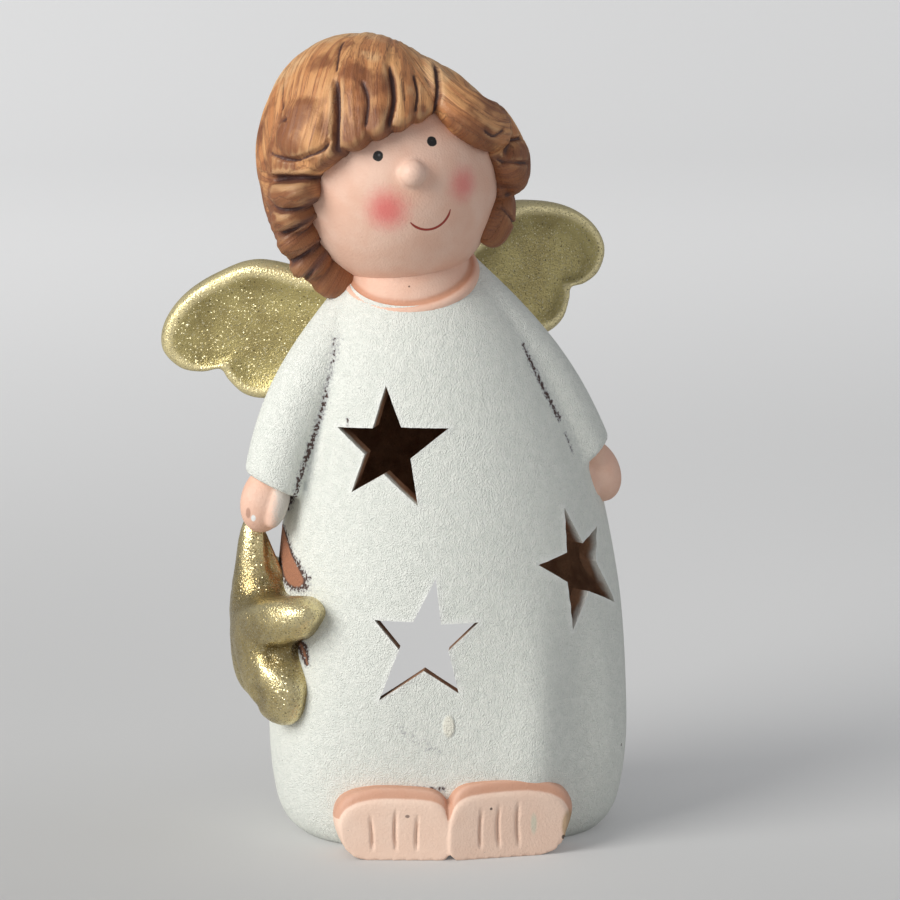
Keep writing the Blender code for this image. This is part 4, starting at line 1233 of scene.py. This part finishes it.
# wiped wash that differs at random, plus the painted light from above
wipe_and_light = plus(tree, blotch, times(tree, minus(tree, light_from_above, 0.5), 0.42))
colour = mix_colours(tree, ramp(tree, streak, 0.38, 0.62), (0.520, 0.215, 0.080, 1), (0.700, 0.355, 0.145, 1))
colour = mix_colours(tree, ramp(tree, wipe_and_light, 0.50, 0.68, 0.0, 0.80), colour, (0.780, 0.490, 0.250, 1))
colour = mix_colours(tree, ramp(tree, wipe_and_light, 0.30, 0.47, 0.85, 0.0), colour, (0.220, 0.072, 0.026, 1))
colour = mix_colours(tree, ramp(tree, hairs, 0.54, 0.68, 0.0, 0.45), colour, (0.200, 0.075, 0.030, 1))
off_line = math_node(tree, "ABSOLUTE", minus(tree, streak, 0.47))
colour = mix_colours(tree, ramp(tree, off_line, 0.004, 0.022, 0.55, 0.0), colour, (0.160, 0.055, 0.026, 1))
crease = read(tree, "crease")
patchy = times(tree, minus(tree, hairs, 0.5), 0.6)
pooled = plus(tree, read(tree, "hollow"), patchy)
colour = mix_colours(tree, ramp(tree, pooled, -0.05, 0.80, 0.0, 0.88), colour, (0.170, 0.056, 0.024, 1))
hollow = plus(tree, crease, patchy)
colour = mix_colours(tree, ramp(tree, hollow, 0.10, 0.60, 0.0, 0.90), colour, (0.085, 0.034, 0.024, 1))
colour = mix_colours(tree, times(tree, read(tree, "groove"), 0.80), colour, (0.085, 0.036, 0.032, 1))
# crests with the wash wiped off, lighter towards the crown as painted light from above
ridge = ramp(tree, crease, -0.20, -0.65, 0.0, 0.55)
ridge = times(tree, ridge, ramp(tree, light_from_above, -0.6, 0.2, 0.25, 1.0))
colour = mix_colours(tree, ridge, colour, (0.760, 0.460, 0.225, 1))
tree.links.new(colour, shader.inputs["Base Color"])
tree.links.new(ramp(tree, streak, 0.3, 0.7, 0.42, 0.60), shader.inputs["Roughness"])
grain = place_group(tree, sand_grain, {"Vector": where, "Grain": 0.0006})
normal = bump(tree, hairs, 0.00022, 0.8)
tree.links.new(bump(tree, grain["Height"], 0.00008, 0.7, normal), shader.inputs["Normal"])
hair.data.materials.append(hair_paint)
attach(hair, "root")
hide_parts("angel_figure")


# Wings: two thick lobed wings on the back, dished inside a rounded rim. Cast on, painted gold and
# dusted with glitter while wet.
WING_SWEEP, WING_TURN, WING_LEAN = 25.0, 8.0, 11.0
WING_THICKNESS, WING_REACH, GOLD_VOXEL = 0.0085, 0.064, 0.0005
WING_CENTRE = Vector((-0.0090, 0.0100, ROBE_HEIGHT - 0.0112))
WING_OUTLINE = (
    (0.156, 0.063), (0.328, 0.141), (0.547, 0.227), (0.719, 0.203), (0.867, 0.141), (0.969, 0.047),
    (1.000, -0.055), (0.945, -0.141), (0.859, -0.172), (0.781, -0.172), (0.758, -0.219),
    (0.703, -0.289), (0.609, -0.320), (0.484, -0.305), (0.312, -0.250), (0.156, -0.156),
)
WING_SECTION = (
    (0.02, 0.52), (0.25, 0.54), (0.50, 0.58), (0.66, 0.68), (0.77, 0.86), (0.84, 0.96), (0.90, 0.95),
    (0.95, 0.80),
    (0.985, 0.48), (1.0, 0.0), (0.985, -0.48), (0.95, -0.80), (0.90, -0.95), (0.80, -1.0), (0.5, -0.95),
    (0.02, -0.93),
)

closed = WING_OUTLINE + WING_OUTLINE[:1]
outline = smooth_path((WING_OUTLINE[-1],) + closed + (WING_OUTLINE[1],), 8)[8:-9]
outline = [point * WING_REACH for point in outline]
middle = sum(outline, Vector((0, 0))) / len(outline)
wing_frame = (
    Matrix.Translation(WING_CENTRE) @ Matrix.Rotation(math.radians(-WING_LEAN), 4, "Y")
    @ Matrix.Rotation(math.radians(WING_TURN), 4, "Z")
)
sweep_turn = math.radians(WING_SWEEP)
wings = []
for side, sign in (("left", -1), ("right", 1)):
    rings = []
    for share, level in WING_SECTION:
        ring = []
        for point in outline:
            flat = middle + (point - middle) * share
            rise = level * WING_THICKNESS / 2
            across = flat.x * math.cos(sweep_turn) + rise * math.sin(sweep_turn)
            back = flat.x * math.sin(sweep_turn) - rise * math.cos(sweep_turn)
            ring.append(wing_frame @ Vector((sign * across, back, flat.y)))
        rings.append(ring)
    wing = cast(loft(f"wing_{side}", rings), GOLD_VOXEL, 8)
    mark_creases(wing, 20, 0.0004)
    wings.append(wing)

# glitter: tiny flat flakes that catch the light each at its own tilt
glitter, given, result = new_group(
    "glitter",
    [("Vector", "NodeSocketVector", None), ("Spacing", "NodeSocketFloat", 0.0006),
     ("Share", "NodeSocketFloat", 0.5), ("Tilt", "NodeSocketFloat", 0.8),
     ("Normal", "NodeSocketVector", None)],
    [("Mask", "NodeSocketFloat"), ("Tone", "NodeSocketFloat"), ("Normal", "NodeSocketVector")],
)
flakes = add_node(
    glitter, "ShaderNodeTexVoronoi",
    {"Vector": given["Vector"], "Scale": math_node(glitter, "DIVIDE", 1.0, given["Spacing"])},
)
chance = add_node(glitter, "ShaderNodeSeparateColor", {"Color": flakes.outputs["Color"]}).outputs
kept = math_node(glitter, "LESS_THAN", chance["Red"], given["Share"])
kept = times(glitter, kept, math_node(glitter, "LESS_THAN", flakes.outputs["Distance"], 0.45))
tilt = vector_math(glitter, "SUBTRACT", {0: flakes.outputs["Color"], 1: (0.5, 0.5, 0.5)})
tilt = add_node(glitter, "ShaderNodeVectorMath", {0: tilt}, operation="SCALE")
glitter.links.new(times(glitter, given["Tilt"], kept), tilt.inputs["Scale"])
tipped = vector_math(glitter, "ADD", {0: given["Normal"], 1: tilt.outputs["Vector"]})
tipped = vector_math(glitter, "NORMALIZE", {0: tipped})
glitter.links.new(kept, result["Mask"])
glitter.links.new(chance["Green"], result["Tone"])
glitter.links.new(tipped, result["Normal"])


def gold_material(name, base, bright, dark, share, metallic, rough):
    """Gold paint with glitter flakes, with painted shade in the hollows and a painted highlight on the
    ridges.
    """
    material, tree, shader = new_material(name)
    where = object_places(tree)
    crease = read(tree, "crease")
    grain = place_group(tree, sand_grain, {"Vector": where, "Grain": 0.0006})
    clouds = noise(tree, where, 90.0, 4.0)
    normal = bump(tree, grain["Height"], 0.00012, 0.9)
    flakes = place_group(
        tree, glitter, {"Vector": where, "Spacing": 0.00042, "Share": share, "Tilt": 0.90, "Normal": normal}
    )
    colour = mix_colours(tree, ramp(tree, clouds, 0.35, 0.65), base, bright)
    # painted shade in the hollows
    colour = mix_colours(tree, ramp(tree, crease, 0.05, 0.6, 0.0, 0.6), colour, dark)
    # painted highlight along the ridges and rims
    colour = mix_colours(tree, ramp(tree, crease, -0.10, -0.65, 0.0, 0.70), colour, (0.90, 0.78, 0.44, 1))
    tone = mix_colours(tree, flakes["Tone"], dark, (0.95, 0.88, 0.62, 1))
    mask = times(tree, flakes["Mask"], 0.58)
    colour = mix_colours(tree, mask, colour, tone)
    pits = place_group(
        tree, specks, {"Vector": where, "Spacing": 0.0011, "Share": 0.45, "Size": 0.20}
    )["Mask"]
    colour = mix_colours(tree, times(tree, pits, 0.6), colour, (0.07, 0.05, 0.02, 1))
    tree.links.new(colour, shader.inputs["Base Color"])
    shader.inputs["Metallic"].default_value = metallic
    tree.links.new(ramp(tree, clouds, 0.3, 0.7, rough, rough + 0.12), shader.inputs["Roughness"])
    tree.links.new(flakes["Normal"], shader.inputs["Normal"])
    return material


wing_gold = gold_material(
    "wing_gold", (0.37, 0.30, 0.12, 1), (0.51, 0.43, 0.18, 1), (0.14, 0.11, 0.03, 1), 0.40, 0.62, 0.30
)
for wing in wings:
    wing.data.materials.append(wing_gold)
    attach(wing, "root")
    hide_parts("angel_figure")


# Gold star: a plump star that hangs from the left hand and lies round the side of the robe.
# Cast on, painted gold, with more glitter than the wings.
GOLD_STAR_RADIUS, ARM_SHOULDER = 0.0280, 0.84
# each arm: its turn, its reach, its half width near the tip and the reach of the notch after it
GOLD_STAR_ARMS = (
    (0, 1.00, 0.10, 0.42), (76, 1.00, 0.16, 0.66), (139, 1.02, 0.25, 0.50), (218, 1.02, 0.22, 0.50),
    (288, 0.96, 0.22, 0.50),
)
TOP_ARM_INSIDE, TOP_ARM_OUTSIDE, TOP_ARM_FROM, TOP_ARM_SPAN = 0.0028, 0.0100, 0.34, 0.14
# valleys between the arms, seen from the front: across and up along each, half width and depth
STAR_VALLEYS = (
    (((-0.0373, 0.0495), (-0.0414, 0.0487), (-0.0446, 0.0483)), 0.0022, 0.0016),
    (((-0.0481, 0.0342), (-0.0484, 0.0385)), 0.0016, 0.0008),
)
GOLD_STAR_HEIGHT, GOLD_STAR_ANGLE = ROBE_HEIGHT * 0.3706, -86
GOLD_STAR_BEND, GOLD_STAR_THICKNESS, GOLD_STAR_ROOT = 0.045, 0.0108, 0.0040
STAR_SECTION = (
    (0.88, None), (0.97, 0.0), (1.0, 0.15), (0.995, 0.32), (0.965, 0.48), (0.91, 0.62), (0.83, 0.74),
    (0.72, 0.84), (0.58, 0.91), (0.40, 0.96), (0.20, 0.99), (0.04, 1.0),
)

seat = robe_point(GOLD_STAR_HEIGHT, GOLD_STAR_ANGLE)
out = robe_outward(GOLD_STAR_HEIGHT, GOLD_STAR_ANGLE)
across = Vector((0, 0, 1)).cross(out).normalized()
corners = []
for index, (turn, reach, half_width, notch_reach) in enumerate(GOLD_STAR_ARMS):
    ahead = (GOLD_STAR_ARMS[(index + 1) % len(GOLD_STAR_ARMS)][0] - turn) % 360
    arm, notch = math.radians(turn), math.radians(turn + ahead / 2)
    along, aside = Vector((math.sin(arm), math.cos(arm))), Vector((math.cos(arm), -math.sin(arm)))
    shoulder = along * reach * ARM_SHOULDER
    corners += [shoulder - aside * half_width, along * reach, shoulder + aside * half_width]
    corners.append(Vector((math.sin(notch), math.cos(notch))) * notch_reach)
outline = smooth_path(corners[-1:] + corners + corners[:2], 8)[8:-9]
rings = []
for share, level in STAR_SECTION:
    rise = -GOLD_STAR_ROOT if level is None else GOLD_STAR_THICKNESS * level
    ring = []
    for corner in outline:
        sideways, up = corner * GOLD_STAR_RADIUS * share
        bend = sideways / GOLD_STAR_BEND
        in_top_arm = min(max(corner.y * share - TOP_ARM_FROM, 0) / TOP_ARM_SPAN, 1)
        arm_rise = TOP_ARM_INSIDE + (TOP_ARM_OUTSIDE - TOP_ARM_INSIDE) * (level or 0)
        ring.append(
            seat - out * GOLD_STAR_BEND + Vector((0, 0, up))
            + (out * math.cos(bend) + across * math.sin(bend))
            * (GOLD_STAR_BEND + rise + (arm_rise - rise) * in_top_arm)
        )
    rings.append(ring)
gold_star = cast(loft("gold_star", rings), GOLD_VOXEL, 6)
mesh = gold_star.data
places = points_of(mesh)
sunk = np.zeros(len(places))
for points, half_width, valley_depth in STAR_VALLEYS:
    for start, end in zip(points, points[1:]):
        apart = from_line(places[:, [0, 2]], start, end)[1]
        sunk = np.maximum(sunk, valley_depth * np.exp(-((apart / half_width) ** 2)))
move_points(mesh, places - normals_of(mesh) * (sunk * (places[:, 1] < 0))[:, None])
mark_creases(gold_star, 24, 0.0006)
star_gold = gold_material(
    "star_gold", (0.38, 0.295, 0.13, 1), (0.55, 0.44, 0.20, 1), (0.11, 0.07, 0.02, 1), 0.80, 0.85, 0.24
)
gold_star.data.materials.append(star_gold)
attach(gold_star, "root")
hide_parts("angel_figure")
